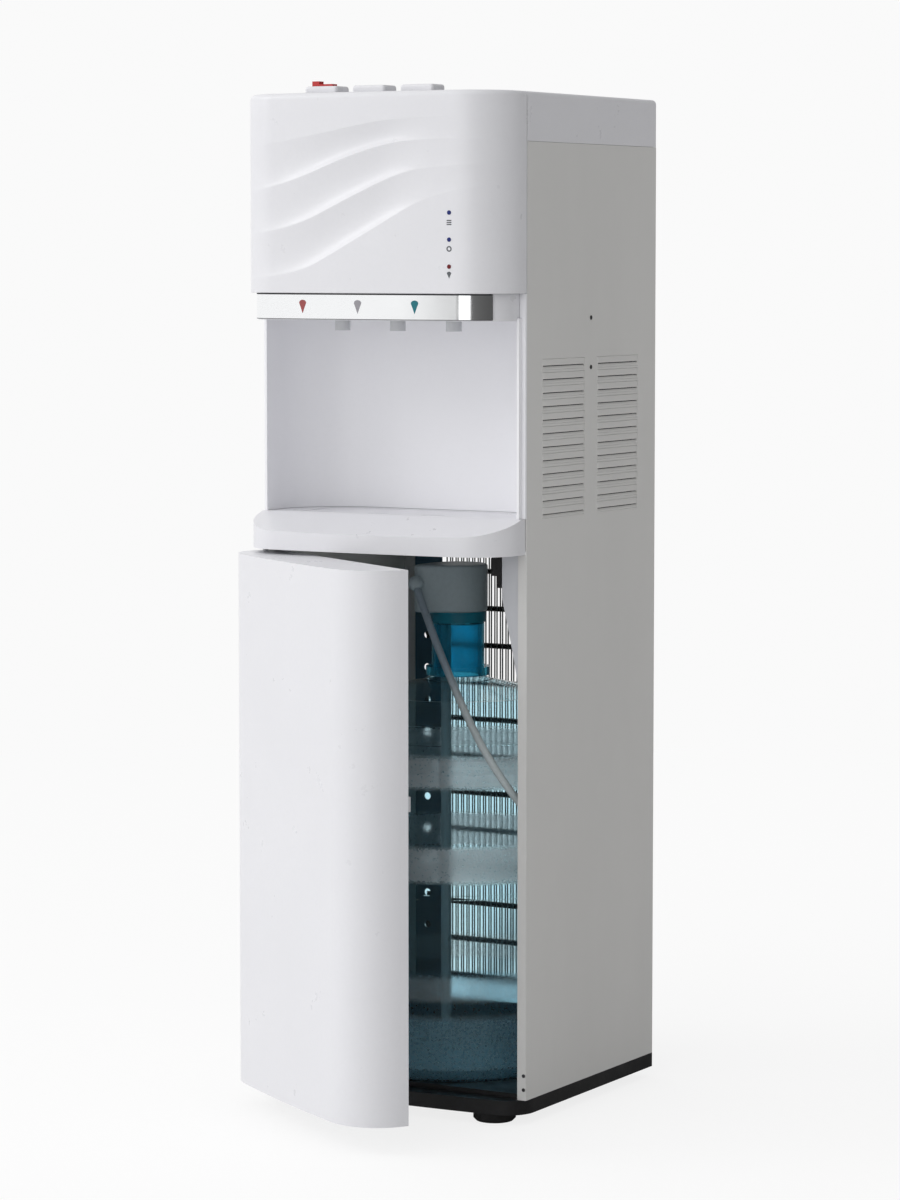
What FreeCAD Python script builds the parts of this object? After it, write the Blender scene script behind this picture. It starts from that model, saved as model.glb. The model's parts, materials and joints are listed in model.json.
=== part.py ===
import FreeCAD, Part
import math
import os
import re

import Sketcher

from FreeCAD import Placement, Rotation, Vector

# A bottom load water cooler with its door ajar. Lengths are in millimetres.
# The cabinet's own frame: x to the right from the middle, y to the back from the front edge of the side
# panels, z up from the floor. The last step moves everything so that the origin lies under the middle.

SIZES = {
    # cabinet
    "width": 310,
    "side_depth": 286,
    "cabinet_height": 1050,
    "side_bottom": 26,
    "cover_height": 50,
    "metal_gauge": 1.2,
    "front_flange": 10,
    "rear_flange": 14,
    "plastic_wall": 2.6,
    "seat_gap": 0.3,
    "fit_gap": 0.5,
    # the rounded front that the fascia, the ledge and the door share
    "bulge": 68,
    "corner_radius": 52,
    "front_sagitta": 6.5,
    # base and feet
    "foot_height": 11,
    "foot_radius": 22,
    "foot_bevel": 3,
    "foot_inset": 43,
    "foot_front": 12,
    "foot_rear_inset": 24,
    "base_reach": 18,
    "base_corner": 30,
    "floor_top": 31,
    "floor_inset": 5,
    "lip_height": 35,
    "lip_wall": 2.5,
    "base_wall": 3,
    "base_band": 40,
    # side vents and screws
    "vent_rise": 32.5,
    "vent_pitch": 13.7,
    "vent_rows": 12,
    "vent_height": 5,
    "vent_front": 34,
    "vent_length": 89,
    "vent_column": 120,
    "screw_radius": 3,
    "screw_head": 1.2,
    "screw_back": 138,
    "screw_drop": 14,
    "screw_rise": 37,
    # rear
    "rail_inset": 2,
    "rail_width": 46,
    "rail_hole_radius": 4,
    "rail_hole_inset": 27,
    "rail_hole_low": 143,
    "rail_hole_margin": 85,
    "rail_holes": 11,
    "tube_radius": 3,
    "tube_low": 89,
    "tube_margin": 48,
    "tube_rows": 12,
    "tube_inset": 3,
    "wire_radius": 0.8,
    "wire_margin": 5.5,
    "wire_half_count": 15,
    "wire_overhang": 15,
    "wire_tail": 7,
    "weld_gap": 0.05,
    "clip_thickness": 1.2,
    "clip_width": 14,
    "clip_height": 18,
    # decks inside
    "compressor_bay": 197,
    "deck_setback": 5,
    "deck_lip": 12,
    "notch_size": 26,
    # compressor
    "compressor_radius": 72,
    "compressor_height": 150,
    "compressor_left": 20,
    "compressor_foot": 3,
    "compressor_seam": 3,
    "compressor_dish": 10,
    "compressor_cup": 28,
    "compressor_crown": 30,
    "mount_height": 12,
    "mount_radius": 11,
    "mount_across": 62,
    "mount_along": 50,
    # cold tank
    "tank_inset": 96,
    "tank_division": 26,
    "tank_gap": 10,
    "cold_side_gap": 7.8,
    "cold_insulation": 19,
    "cold_height": 165,
    "tank_wall": 1,
    "insulation_floor": 12,
    "coil_radius": 2.8,
    "coil_turns": 6,
    "coil_pitch": 18,
    "coil_low": 40,
    "lid_height": 5,
    "inlet_radius": 8,
    "inlet_height": 28,
    # hot tank
    "hot_side_gap": 9.8,
    "hot_insulation": 12,
    "hot_height": 140,
    "heater_flange": 20,
    "heater_rod": 5,
    "heater_depth": 110,
    "heater_plate": 4,
    "heater_cap": 12,
    # pump and hoses
    "pump_side_gap": 5.8,
    "pump_rear_gap": 8,
    "pump_radius": 23,
    "pump_flange": 3,
    "pump_plate": 4,
    "pump_shoulder": 22,
    "pump_neck": 18,
    "pump_inlet_left": 4,
    "pump_rim": 2,
    "pump_height": 70,
    "hose_radius": 4,
    "hose_bore": 2.8,
    "riser_start": 30,
    "riser_turn": 80,
    "riser_bend": 24,
    "riser_side_gap": 11.8,
    "riser_rear_gap": 20,
    # fascia and its lights
    "fascia_height": 202,
    "fascia_top_wall": 3,
    "top_round": 6,
    "lens_inset": 53,
    "lens_drop": 175,
    "lens_pitch": 26.8,
    "lens_count": 3,
    "lens_hole": 11,
    "lens_radius": 2.2,
    "lens_length": 7,
    "lens_proud": 0.4,
    "board_thickness": 1.6,
    "board_width": 26,
    "board_margin": 14,
    # top cover
    "cover_proud": 2,
    "cover_round": 5,
    # alcove, hood and trim
    "alcove_inset": 4.2,
    "alcove_height": 199.5,
    "alcove_gap": 17,
    "alcove_flat": 22,
    "alcove_lip": 9,
    "alcove_flange": 3,
    "hood_height": 27.5,
    "hood_back": 21,
    "trim_rise": 1,
    "trim_height": 26,
    "trim_thickness": 1.4,
    "trim_end": 42,
    # ledge, tray and grille
    "ledge_height": 36,
    "ledge_inset": 1.5,
    "ledge_lift": 3,
    "tray_inset": 40,
    "ledge_fall": 18,
    "tray_rear_gap": 16,
    "tray_depth": 24,
    "tray_wall": 2.2,
    "tray_step": 5,
    "grille_thickness": 3.5,
    "grille_slot": 6,
    "grille_slot_length": 27,
    "grille_slot_back": 8,
    "grille_pitch": 65,
    "grille_slots": 3,
    "grille_shift": 24,
    # taps
    "spout_pitch": 66,
    "spout_back": 8,
    "spout_radius": 8,
    "spout_bore": 5,
    "spout_drop": 11.5,
    "tap_half": 11,
    "tap_front": 47,
    "tap_back": 17,
    "tap_height": 43,
    "nipple_rise": 34.9,
    "nipple_length": 9,
    "nipple_wall": 1,
    "spout_clearance": 2,
    "spout_root": 4,
    "spout_bore_depth": 10,
    "valve_floor": 2,
    # buttons
    "button_pitch": 56,
    "button_forward": 38,
    "button_width": 38,
    "button_length": 26,
    "button_rise": 7,
    "button_depth": 6,
    "button_round": 3,
    "button_travel": 4,
    "rod_radius": 3,
    "rod_engaged": 12,
    "lock_length": 24,
    "lock_width": 9,
    "lock_height": 2,
    "lock_thumb": 5,
    "lock_inset": 4,
    # door
    "door_bottom": 28.5,
    "door_gap": 5,
    "door_back": 5,
    "door_wall": 3,
    "liner_thickness": 2.5,
    "door_angle": 33,
    "hinge_side": 12,
    "hinge_forward": 21,
    "pin_radius": 3,
    "pin_fit": 0.1,
    "bush_radius": 7,
    "bush_height": 18,
    "hinge_plate": 2,
    "hinge_plate_left": 6,
    "hinge_plate_right": 15,
    "hinge_plate_length": 26,
    "catch_low": 341,
    "catch_height": 15,
    "catch_width": 8,
    "catch_depth": 4.2,
    "gusset_width": 19,
    "gusset_height": 135,
    "switch_inset": 42,
    "switch_width": 11,
    "switch_height": 26,
    "switch_depth": 14,
    "tongue_length": 12,
    # bottle and probe
    "bottle_proud": 2,
    "bottle_room": 16,
    "bottle_wall": 2.5,
    "bottle_bevel": 14,
    "neck_root": 12,
    "neck_flare": 5,
    "rib_depth": 4,
    "rib_width": 14,
    "rib_pitch": 130,
    "rib_gap": 30,
    "shoulder_height": 56,
    "neck_length": 59,
    "neck_radius": 25,
    "head_room": 23.5,
    "cap_wall": 2.5,
    "cap_height": 54,
    "cap_ring_radius": 34,
    "cap_ring_height": 9,
    "collar_radius": 30,
    "collar_height": 11,
    "head_radius": 31.5,
    "head_height": 50,
    "snout_radius": 12,
    "snout_left": 22,
    "snout_forward": 30,
    "probe_radius": 5.5,
    "probe_bore": 4,
    "probe_left": 11,
    "probe_forward": 6,
    "probe_clearance": 32,
    "head_bevel": 3,
    "elbow_radius": 8,
    "elbow_left": 24,
    "elbow_rise": 31,
    "elbow_forward": 48,
    "elbow_neck": 14,
    "elbow_wall": 2,
    # back fittings
    "rocker_across": 70,
    "rocker_pitch": 24,
    "rocker_drop": 135,
    "rocker_width": 13,
    "rocker_half": 11,
    "rocker_proud": 5,
    "rocker_dip": 3.4,
    "rocker_sunk": 3,
    "rocker_taper": 2,
    "rocker_gap": 1.5,
    "bezel_thickness": 2,
    "rocker_tilt": 8,
    "bezel_margin": 6,
    "window_margin": 1,
    "gland_inset": 35,
    "gland_rise": 52,
    "gland_radius": 9,
    "gland_length": 8,
    "gland_shoulder": 2,
    "gland_bore": 4,
    "drain_rise": 27,
    "drain_radius": 7,
    "drain_bore": 4.5,
    "drain_length": 10,
    "drain_cap_wall": 2.5,
    "box_depth": 32,
    "box_drop": 100,
    "box_height": 85,
    "box_side_gap": 15.8,
    "box_width": 78,
}

# What follows from those sizes, each a formula
FORMULAS = {
    "hinge_x": "hinge_side - width/2",
    "hinge_y": "-hinge_forward",
    "front_radius": "((width/2)^2 + front_sagitta^2) / (2*front_sagitta)",
    "panel_inner": "width/2 - metal_gauge",
    "rear_face": "side_depth + metal_gauge",
    # heights, from the top of the cabinet down to the bottle that fits under the ledge
    "side_top": "cabinet_height - cover_height",
    "fascia_bottom": "cabinet_height - fascia_height",
    "hood_bottom": "fascia_bottom - hood_height",
    "hood_floor": "hood_bottom + plastic_wall",
    "trim_bottom": "hood_bottom + trim_rise",
    "tap_top": "hood_floor + tap_height",
    "nipple_level": "hood_floor + nipple_rise",
    "spout_low": "hood_bottom - spout_drop",
    "ledge_top": "hood_bottom - alcove_height",
    "ledge_bottom": "ledge_top - ledge_height",
    "deck_bottom": "ledge_bottom + ledge_lift",
    "deck_top": "deck_bottom + metal_gauge",
    "compressor_bottom": "deck_top + mount_height",
    "shelf_bottom": "deck_bottom + compressor_bay",
    "shelf_top": "shelf_bottom + metal_gauge",
    "tray_bottom": "ledge_top - tray_depth + seat_gap",
    "tray_rim": "ledge_top - seat_gap",
    "door_top": "ledge_bottom - door_gap",
    "head_top": "ledge_bottom - head_room",
    "head_bottom": "head_top - head_height",
    "collar_bottom": "head_bottom - collar_height",
    "neck_top": "collar_bottom - cap_wall - floor_top",
    "cap_bottom": "neck_top - cap_height",
    "shoulder_high": "neck_top - neck_length",
    "shoulder_low": "shoulder_high - shoulder_height",
    "rib_high": "shoulder_low - rib_gap",
    "rib_low": "rib_high - rib_pitch",
    "vent_low": "deck_bottom + vent_rise",
    "screw_low": "shelf_bottom - screw_drop",
    "screw_high": "shelf_bottom + screw_rise",
    "lens_low": "cabinet_height - lens_drop",
    "rocker_level": "cabinet_height - rocker_drop",
    "gland_level": "deck_bottom + gland_rise",
    "drain_level": "shelf_bottom + drain_rise",
    "box_low": "side_top - box_drop",
    # across
    "alcove_half": "width/2 - alcove_inset",
    "hood_half": "alcove_half - plastic_wall - seat_gap",
    "hood_inset": "width/2 - hood_half",
    "tray_half": "width/2 - tray_inset",
    "lens_across": "width/2 - lens_inset",
    "lens_face": "front_radius - bulge - sqrt(front_radius^2 - lens_across^2) - lens_proud",
    "switch_across": "width/2 - switch_inset",
    "foot_across": "width/2 - foot_inset",
    "gland_across": "width/2 - gland_inset",
    "insulation_outer": "(panel_inner + tank_division - tank_gap - cold_side_gap)/2",
    "jacket_outer": "(panel_inner - tank_division - tank_gap - hot_side_gap)/2",
    "cold_across": "panel_inner - cold_side_gap - insulation_outer",
    "hot_across": "panel_inner - hot_side_gap - jacket_outer",
    "cold_radius": "insulation_outer - cold_insulation",
    "hot_radius": "jacket_outer - hot_insulation",
    "pump_across": "panel_inner - pump_side_gap - pump_radius - pump_flange",
    "riser_across": "panel_inner - riser_side_gap",
    "box_left": "panel_inner - box_side_gap",
    "box_right": "box_left - box_width",
    # front to back
    "tank_back": "side_depth - tank_inset",
    "alcove_back": "tank_back - insulation_outer - alcove_gap",
    "alcove_corner": "alcove_back - alcove_flat",
    "tray_back": "alcove_back - tray_rear_gap",
    "deck_front": "alcove_back + deck_setback",
    "foot_rear": "side_depth - foot_rear_inset",
    "pump_back": "side_depth - pump_rear_gap - pump_radius - pump_flange",
    "riser_back": "side_depth - riser_rear_gap",
    "bottle_radius": "(side_depth - bottle_room)/2",
    "bottle_back": "bottle_radius - bottle_proud",
    # the tank heights and the back
    "cold_bottom": "shelf_top + insulation_floor",
    "cold_top": "cold_bottom + cold_height",
    "rail_outer": "width/2 - rail_inset",
    "rail_inner": "rail_outer - rail_width",
    "rail_hole_across": "rail_outer - rail_hole_inset",
    "rail_hole_pitch": "(deck_bottom - rail_hole_low - rail_hole_margin)/(rail_holes - 1)",
    "tube_half": "rail_inner + tube_inset",
    "wire_pitch": "(rail_inner - wire_margin)/(wire_half_count - 0.5)",
    "tube_pitch": "(deck_bottom - tube_low - tube_margin)/(tube_rows - 1)",
    "tube_top": "tube_low + (tube_rows - 1)*tube_pitch",
    "tube_back": "rear_face + clip_thickness + seat_gap + tube_radius",
}

doc = FreeCAD.newDocument("water_cooler")
sizes = doc.addObject("Spreadsheet::Sheet", "Sizes")
for row, (alias, number) in enumerate(SIZES.items(), 1):
    sizes.set(f"A{row}", alias)
    sizes.set(f"B{row}", str(number))
    sizes.setAlias(f"B{row}", alias)
doc.recompute()

ALIAS = re.compile(r"\b(" + "|".join(SIZES) + r")\b")
DERIVED = re.compile(r"\b(" + "|".join(FORMULAS) + r")\b")
ALONG = {
    "x": Rotation(Vector(0, 1, 0), 90),
    "y": Rotation(Vector(1, 0, 0), -90),
    "z": Rotation(),
}
LEFT = "-1"
RIGHT = "1"
CUT_MARGIN = 1
TINY = 1e-9
SAME_LEVEL = 0.01

def spelled_out(formula):
    """The formula in terms of the sheet's own cells."""
    while DERIVED.search(formula):
        formula = DERIVED.sub(lambda found: f"({FORMULAS[found.group(1)]})", formula)
    return formula


def value(formula):
    """The number that a formula gives with the sizes in the sheet."""
    return float(sizes.evalExpression(spelled_out(formula)))


def bind(thing, prop, formula):
    """Tie a property to the sheet."""
    thing.setExpression(prop, ALIAS.sub(r"Sizes.\1", spelled_out(formula)))


# Solids from primitives


def box(name, x, y, z):
    """A box whose x, y and z are each a pair of formulas, low and high."""
    piece = doc.addObject("Part::Box", name)
    for axis, prop, (low, high) in zip("xyz", ("Length", "Width", "Height"), (x, y, z)):
        bind(piece, prop, f"({high}) - ({low})")
        bind(piece, f"Placement.Base.{axis}", low)
    return piece


def cylinder(name, radius, start, length, along="z"):
    """A cylinder from its start point, a triple of formulas, along one axis."""
    piece = doc.addObject("Part::Cylinder", name)
    piece.Placement = Placement(Vector(), ALONG[along])
    bind(piece, "Radius", radius)
    bind(piece, "Height", length)
    for axis, place in zip("xyz", start):
        bind(piece, f"Placement.Base.{axis}", place)
    return piece


def fuse(name, *solids):
    piece = doc.addObject("Part::MultiFuse", name)
    piece.Shapes = list(solids)
    return piece


def cut(name, base, *tools):
    piece = doc.addObject("Part::Cut", name)
    piece.Base = base
    piece.Tool = tools[0] if len(tools) == 1 else fuse(f"{name}_tools", *tools)
    return piece


def group(name, solids):
    """Separate solids that share one node."""
    piece = doc.addObject("Part::Compound", name)
    piece.Links = list(solids)
    return piece


# Solids from sketches


def new_body(name):
    return doc.addObject("PartDesign::Body", name)


def sketch_on(body, role="XY_Plane", offset="0"):
    """A sketch on one of the body's own origin planes, moved along its normal."""
    drawn = body.newObject("Sketcher::SketchObject", f"{body.Name}_sketch")
    plane = next(part for part in body.Origin.OriginFeatures if part.Role == role)
    drawn.AttachmentSupport = [(plane, "")]
    drawn.MapMode = "FlatFace"
    bind(drawn, ".AttachmentOffset.Base.z", offset)
    return drawn


def hold_point(drawn, line, end, across, up):
    """Hold one end of a line at its distances from the sketch's origin."""
    for kind, axis_line, formula in (("DistanceX", -2, across), ("DistanceY", -1, up)):
        number = value(formula)
        if abs(number) < TINY:
            drawn.addConstraint(Sketcher.Constraint("PointOnObject", line, end, axis_line))
            continue
        index = drawn.addConstraint(Sketcher.Constraint(kind, -1, 1, line, end, number))
        bind(drawn, f"Constraints[{index}]", formula)


def polygon(drawn, corners):
    """A closed outline through corners, each a pair of formulas."""
    first = drawn.GeometryCount
    places = [Vector(value(across), value(up), 0) for across, up in corners]
    for start, end in zip(places, places[1:] + places[:1]):
        drawn.addGeometry(Part.LineSegment(start, end))
    for number, (across, up) in enumerate(corners):
        before = first + (number - 1) % len(corners)
        drawn.addConstraint(Sketcher.Constraint("Coincident", before, 2, first + number, 1))
        hold_point(drawn, first + number, 1, across, up)


def rectangle(drawn, across, up):
    polygon(drawn, [(across[0], up[0]), (across[1], up[0]), (across[1], up[1]), (across[0], up[1])])


def circle(drawn, radius, across, up):
    centre = Vector(value(across), value(up), 0)
    ring = drawn.addGeometry(Part.Circle(centre, Vector(0, 0, 1), value(radius)))
    hold_point(drawn, ring, 3, across, up)
    index = drawn.addConstraint(Sketcher.Constraint("Radius", ring, value(radius)))
    bind(drawn, f"Constraints[{index}]", radius)


def arc(centre, radius, start, end):
    """An arc between two directions in degrees, counted from +x."""
    ring = Part.Circle(centre, Vector(0, 0, 1), radius)
    return Part.ArcOfCircle(ring, math.radians(start), math.radians(end))


def front_outline(drawn, inset, back, reach="bulge", corner="corner_radius"):
    """The cabinet's rounded plan: a gently bowed front, two round corners and a straight back."""
    bow = value(f"front_radius - ({inset})")
    bow_centre = Vector(0, value(f"front_radius - ({reach})"), 0)
    round_radius = value(f"{corner} - ({inset})")
    half = value(f"width/2 - ({inset})")
    round_across = half - round_radius
    round_along = bow_centre.y - math.sqrt((bow - round_radius) ** 2 - round_across ** 2)
    turn = math.degrees(math.atan2(round_across, bow_centre.y - round_along))
    rear = value(back)
    right_centre = Vector(round_across, round_along, 0)
    left_centre = Vector(-round_across, round_along, 0)
    rear_line = drawn.addGeometry(Part.LineSegment(Vector(-half, rear, 0), Vector(half, rear, 0)))
    right_line = drawn.addGeometry(Part.LineSegment(Vector(half, rear, 0), Vector(half, round_along, 0)))
    right_arc = drawn.addGeometry(arc(right_centre, round_radius, 270 + turn, 360))
    bow_arc = drawn.addGeometry(arc(bow_centre, bow, 270 - turn, 270 + turn))
    left_arc = drawn.addGeometry(arc(left_centre, round_radius, 180, 270 - turn))
    left_line = drawn.addGeometry(Part.LineSegment(Vector(-half, round_along, 0), Vector(-half, rear, 0)))
    joined = [
        Sketcher.Constraint("Coincident", rear_line, 2, right_line, 1),
        Sketcher.Constraint("Coincident", left_line, 2, rear_line, 1),
        Sketcher.Constraint("Tangent", right_line, 2, right_arc, 2),
        Sketcher.Constraint("Tangent", right_arc, 1, bow_arc, 2),
        Sketcher.Constraint("Tangent", bow_arc, 1, left_arc, 2),
        Sketcher.Constraint("Tangent", left_arc, 1, left_line, 1),
        Sketcher.Constraint("PointOnObject", bow_arc, 3, -2),
        Sketcher.Constraint("Horizontal", rear_line),
    ]
    drawn.addConstraint(joined)
    measured = [
        ("Radius", (right_arc,), round_radius, f"{corner} - ({inset})"),
        ("Radius", (left_arc,), round_radius, f"{corner} - ({inset})"),
        ("Radius", (bow_arc,), bow, f"front_radius - ({inset})"),
        ("DistanceY", (-1, 1, bow_arc, 3), bow_centre.y, f"front_radius - ({reach})"),
        ("DistanceX", (-1, 1, right_line, 1), half, f"width/2 - ({inset})"),
        ("DistanceX", (left_line, 2, -1, 1), half, f"width/2 - ({inset})"),
    ]
    for kind, places, number, formula in measured:
        index = drawn.addConstraint(Sketcher.Constraint(kind, *places, number))
        bind(drawn, f"Constraints[{index}]", formula)
    if abs(rear) < TINY:
        drawn.addConstraint(Sketcher.Constraint("PointOnObject", right_line, 1, -1))
    else:
        index = drawn.addConstraint(Sketcher.Constraint("DistanceY", -1, 1, right_line, 1, rear))
        bind(drawn, f"Constraints[{index}]", back)


def alcove_outline(drawn, half, front, back, corner):
    """A plan with a straight front and two large rounds at the back."""
    wide, near, far, round_radius = (value(formula) for formula in (half, front, back, corner))
    flat = wide - round_radius
    start = far - round_radius
    front_line = drawn.addGeometry(Part.LineSegment(Vector(-wide, near, 0), Vector(wide, near, 0)))
    right_line = drawn.addGeometry(Part.LineSegment(Vector(wide, near, 0), Vector(wide, start, 0)))
    right_arc = drawn.addGeometry(arc(Vector(flat, start, 0), round_radius, 0, 90))
    back_line = drawn.addGeometry(Part.LineSegment(Vector(flat, far, 0), Vector(-flat, far, 0)))
    left_arc = drawn.addGeometry(arc(Vector(-flat, start, 0), round_radius, 90, 180))
    left_line = drawn.addGeometry(Part.LineSegment(Vector(-wide, start, 0), Vector(-wide, near, 0)))
    joined = [
        Sketcher.Constraint("Coincident", front_line, 2, right_line, 1),
        Sketcher.Constraint("Coincident", left_line, 2, front_line, 1),
        Sketcher.Constraint("Tangent", right_line, 2, right_arc, 1),
        Sketcher.Constraint("Tangent", right_arc, 2, back_line, 1),
        Sketcher.Constraint("Tangent", back_line, 2, left_arc, 1),
        Sketcher.Constraint("Tangent", left_arc, 2, left_line, 1),
        Sketcher.Constraint("Horizontal", front_line),
        Sketcher.Constraint("Horizontal", back_line),
    ]
    drawn.addConstraint(joined)
    measured = [
        ("Radius", (right_arc,), round_radius, corner),
        ("Radius", (left_arc,), round_radius, corner),
        ("DistanceX", (-1, 1, right_line, 1), wide, half),
        ("DistanceX", (left_line, 2, -1, 1), wide, half),
        ("DistanceY", (-1, 1, back_line, 1), far, back),
        ("DistanceY", (-1, 1, right_line, 1), near, front),
    ]
    for kind, places, number, formula in measured:
        index = drawn.addConstraint(Sketcher.Constraint(kind, *places, number))
        bind(drawn, f"Constraints[{index}]", formula)


def pad(body, drawn, length):
    grown = body.newObject("PartDesign::Pad", f"{body.Name}_pad")
    grown.Profile = drawn
    bind(grown, "Length", length)
    body.Tip = grown
    return grown


def pocket(body, drawn, length, along_normal=False):
    """A pocket against the sketch's normal, or along it."""
    hollow = body.newObject("PartDesign::Pocket", f"{body.Name}_pocket")
    hollow.Profile = drawn
    hollow.Reversed = along_normal
    bind(hollow, "Length", length)
    body.Tip = hollow
    return hollow


def repeat(body, feature, drawn, axis, count, pitch):
    """Copies of a feature in a row along one of its sketch's axes."""
    row = body.newObject("PartDesign::LinearPattern", f"{body.Name}_row")
    row.Originals = [feature]
    row.Direction = (drawn, [axis])
    bind(row, "Occurrences", count)
    bind(row, "Length", f"(({count}) - 1)*({pitch})")
    body.Tip = row
    return row


def round_edges(body, radius, chosen):
    """A fillet on the edges of the body so far that the test chooses."""
    doc.recompute()
    base = body.Tip
    names = [f"Edge{number}" for number, edge in enumerate(base.Shape.Edges, 1) if chosen(edge)]
    rounded = body.newObject("PartDesign::Fillet", f"{body.Name}_round")
    rounded.Base = (base, names)
    bind(rounded, "Radius", radius)
    body.Tip = rounded
    return rounded


def turned(name, profile):
    """A solid turned about the vertical axis, from (radius, height) pairs of formulas."""
    body = new_body(name)
    drawn = sketch_on(body, "XZ_Plane")
    polygon(drawn, profile)
    spun = body.newObject("PartDesign::Revolution", f"{name}_turn")
    spun.Profile = drawn
    spun.ReferenceAxis = (drawn, ["V_Axis"])
    spun.Angle = 360
    body.Tip = spun
    return body


# Tubes along a route


def route_wire(points, bend=None):
    """Straight runs joined by tangent arcs, as large as the two runs of each arc allow."""
    edges = []
    radii = []
    start = points[0]
    for before, corner, after in zip(points, points[1:], points[2:]):
        back = before - corner
        ahead = after - corner
        half_turn = (math.pi - back.getAngle(ahead)) / 2
        largest = 0.45 * min(back.Length, ahead.Length) / math.tan(half_turn)
        radius = largest if bend is None else min(bend, largest)
        setback = radius * math.tan(half_turn)
        enter = corner + back * (setback / back.Length)
        leave = corner + ahead * (setback / ahead.Length)
        inward = (back * (1 / back.Length) + ahead * (1 / ahead.Length)).normalize()
        centre = corner + inward * (radius / math.cos(half_turn))
        middle = centre - inward * radius
        edges.append(Part.LineSegment(start, enter).toShape())
        edges.append(Part.Arc(enter, middle, leave).toShape())
        radii.append(radius)
        start = leave
    edges.append(Part.LineSegment(start, points[-1]).toShape())
    return Part.Wire(edges), radii


def tube(points, radius, bore=0, bend=None):
    """A round tube, solid or hollow, along the route through the points."""
    wire, radii = route_wire(points, bend)
    heading = points[1] - points[0]
    outer = Part.Wire(Part.makeCircle(radius, points[0], heading))
    solid = wire.makePipeShell([outer], True, True)
    if bore:
        inner = Part.Wire(Part.makeCircle(bore, points[0], heading))
        solid = solid.cut(wire.makePipeShell([inner], True, True))
    return solid, wire.Length, radii


def free_shape(name, shape):
    """A piece whose shape no sketch or primitive makes, such as a bent tube."""
    piece = doc.addObject("Part::Feature", name)
    piece.Shape = shape
    return piece


pieces = {}


def keep(node, piece, at=Placement()):
    """Name a finished sub-part and say where it stands in the cabinet's frame."""
    piece.Label = node
    pieces[node] = (piece, at)


def standing_at(x, y, z):
    return Placement(Vector(value(x), value(y), value(z)), Rotation())


# Base and feet


def make_base_tray():
    body = new_body("base")
    outline = sketch_on(body, offset="foot_height")
    front_outline(outline, "0", "side_depth", reach="base_reach", corner="base_corner")
    pad(body, outline, "side_bottom - foot_height")
    floor = sketch_on(body, offset="side_bottom")
    half = "(width/2 - floor_inset)"
    rectangle(floor, (f"-{half}", half), ("floor_inset", "side_depth - floor_inset"))
    pad(body, floor, "floor_top - side_bottom")
    lip = sketch_on(body, offset="floor_top")
    rectangle(lip, (f"-{half}", half), ("side_depth - floor_inset - lip_wall", "side_depth - floor_inset"))
    pad(body, lip, "lip_height")
    underside = sketch_on(body, offset="foot_height")
    hollow = "(width/2 - floor_inset - base_wall)"
    rectangle(underside, (f"-{hollow}", hollow), ("base_band", "side_depth - base_band"))
    pocket(body, underside, "floor_top - base_wall - foot_height", along_normal=True)
    keep("base_tray", body)


def make_feet():
    feet = []
    for side in (LEFT, RIGHT):
        for back in ("foot_front", "foot_rear"):
            bevel = doc.addObject("Part::Cone", "foot_bevelled")
            bind(bevel, "Radius1", "foot_radius - foot_bevel")
            bind(bevel, "Radius2", "foot_radius")
            bind(bevel, "Height", "foot_bevel")
            bind(bevel, "Placement.Base.x", f"{side}*foot_across")
            bind(bevel, "Placement.Base.y", back)
            pillar = cylinder("foot_pillar", "foot_radius", (f"{side}*foot_across", back, "foot_bevel"),
                              "foot_height - foot_bevel")
            feet.append(fuse("foot", bevel, pillar))
    keep("feet", group("feet_group", feet))


# Side panels


def make_side_panel(node, side):
    """A folded steel side: a flange down the door opening, a flange at the back, and two vent columns."""
    body = new_body(f"{node}_body")
    outer = "width/2"
    profile = sketch_on(body, offset="side_bottom")
    folds = [
        (outer, "0"),
        (outer, "side_depth"),
        (f"{outer} - rear_flange", "side_depth"),
        (f"{outer} - rear_flange", "side_depth - metal_gauge"),
        ("panel_inner", "side_depth - metal_gauge"),
        ("panel_inner", "metal_gauge"),
        (f"{outer} - front_flange", "metal_gauge"),
        (f"{outer} - front_flange", "0"),
    ]
    polygon(profile, [(f"{side}*({across})", up) for across, up in folds])
    pad(body, profile, "side_top - side_bottom")
    above_door = sketch_on(body, offset="ledge_bottom")
    beyond = f"{side}*({outer} - front_flange - {CUT_MARGIN})"
    rectangle(above_door, (beyond, f"{side}*panel_inner"), (f"-{CUT_MARGIN}", "metal_gauge*2"))
    pocket(body, above_door, f"side_top - ledge_bottom + {CUT_MARGIN}", along_normal=True)
    start = f"{outer} + {CUT_MARGIN}" if side == RIGHT else f"metal_gauge + {CUT_MARGIN} - {outer}"
    slots = sketch_on(body, "YZ_Plane", start)
    for front in ("vent_front", "vent_front + vent_column"):
        rectangle(slots, (front, f"{front} + vent_length"), ("vent_low", "vent_low + vent_height"))
    first = pocket(body, slots, f"metal_gauge + 2*{CUT_MARGIN}")
    repeat(body, first, slots, "V_Axis", "vent_rows", "vent_pitch")
    keep(node, body)


def make_side_screws():
    screws = []
    for side, start in ((LEFT, "-width/2 - screw_head"), (RIGHT, "width/2")):
        for level in ("screw_low", "screw_high"):
            screws.append(cylinder("side_screw", "screw_radius", (start, "screw_back", level), "screw_head",
                                   "x"))
    keep("side_screws", group("side_screw_group", screws))


# The back


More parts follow.
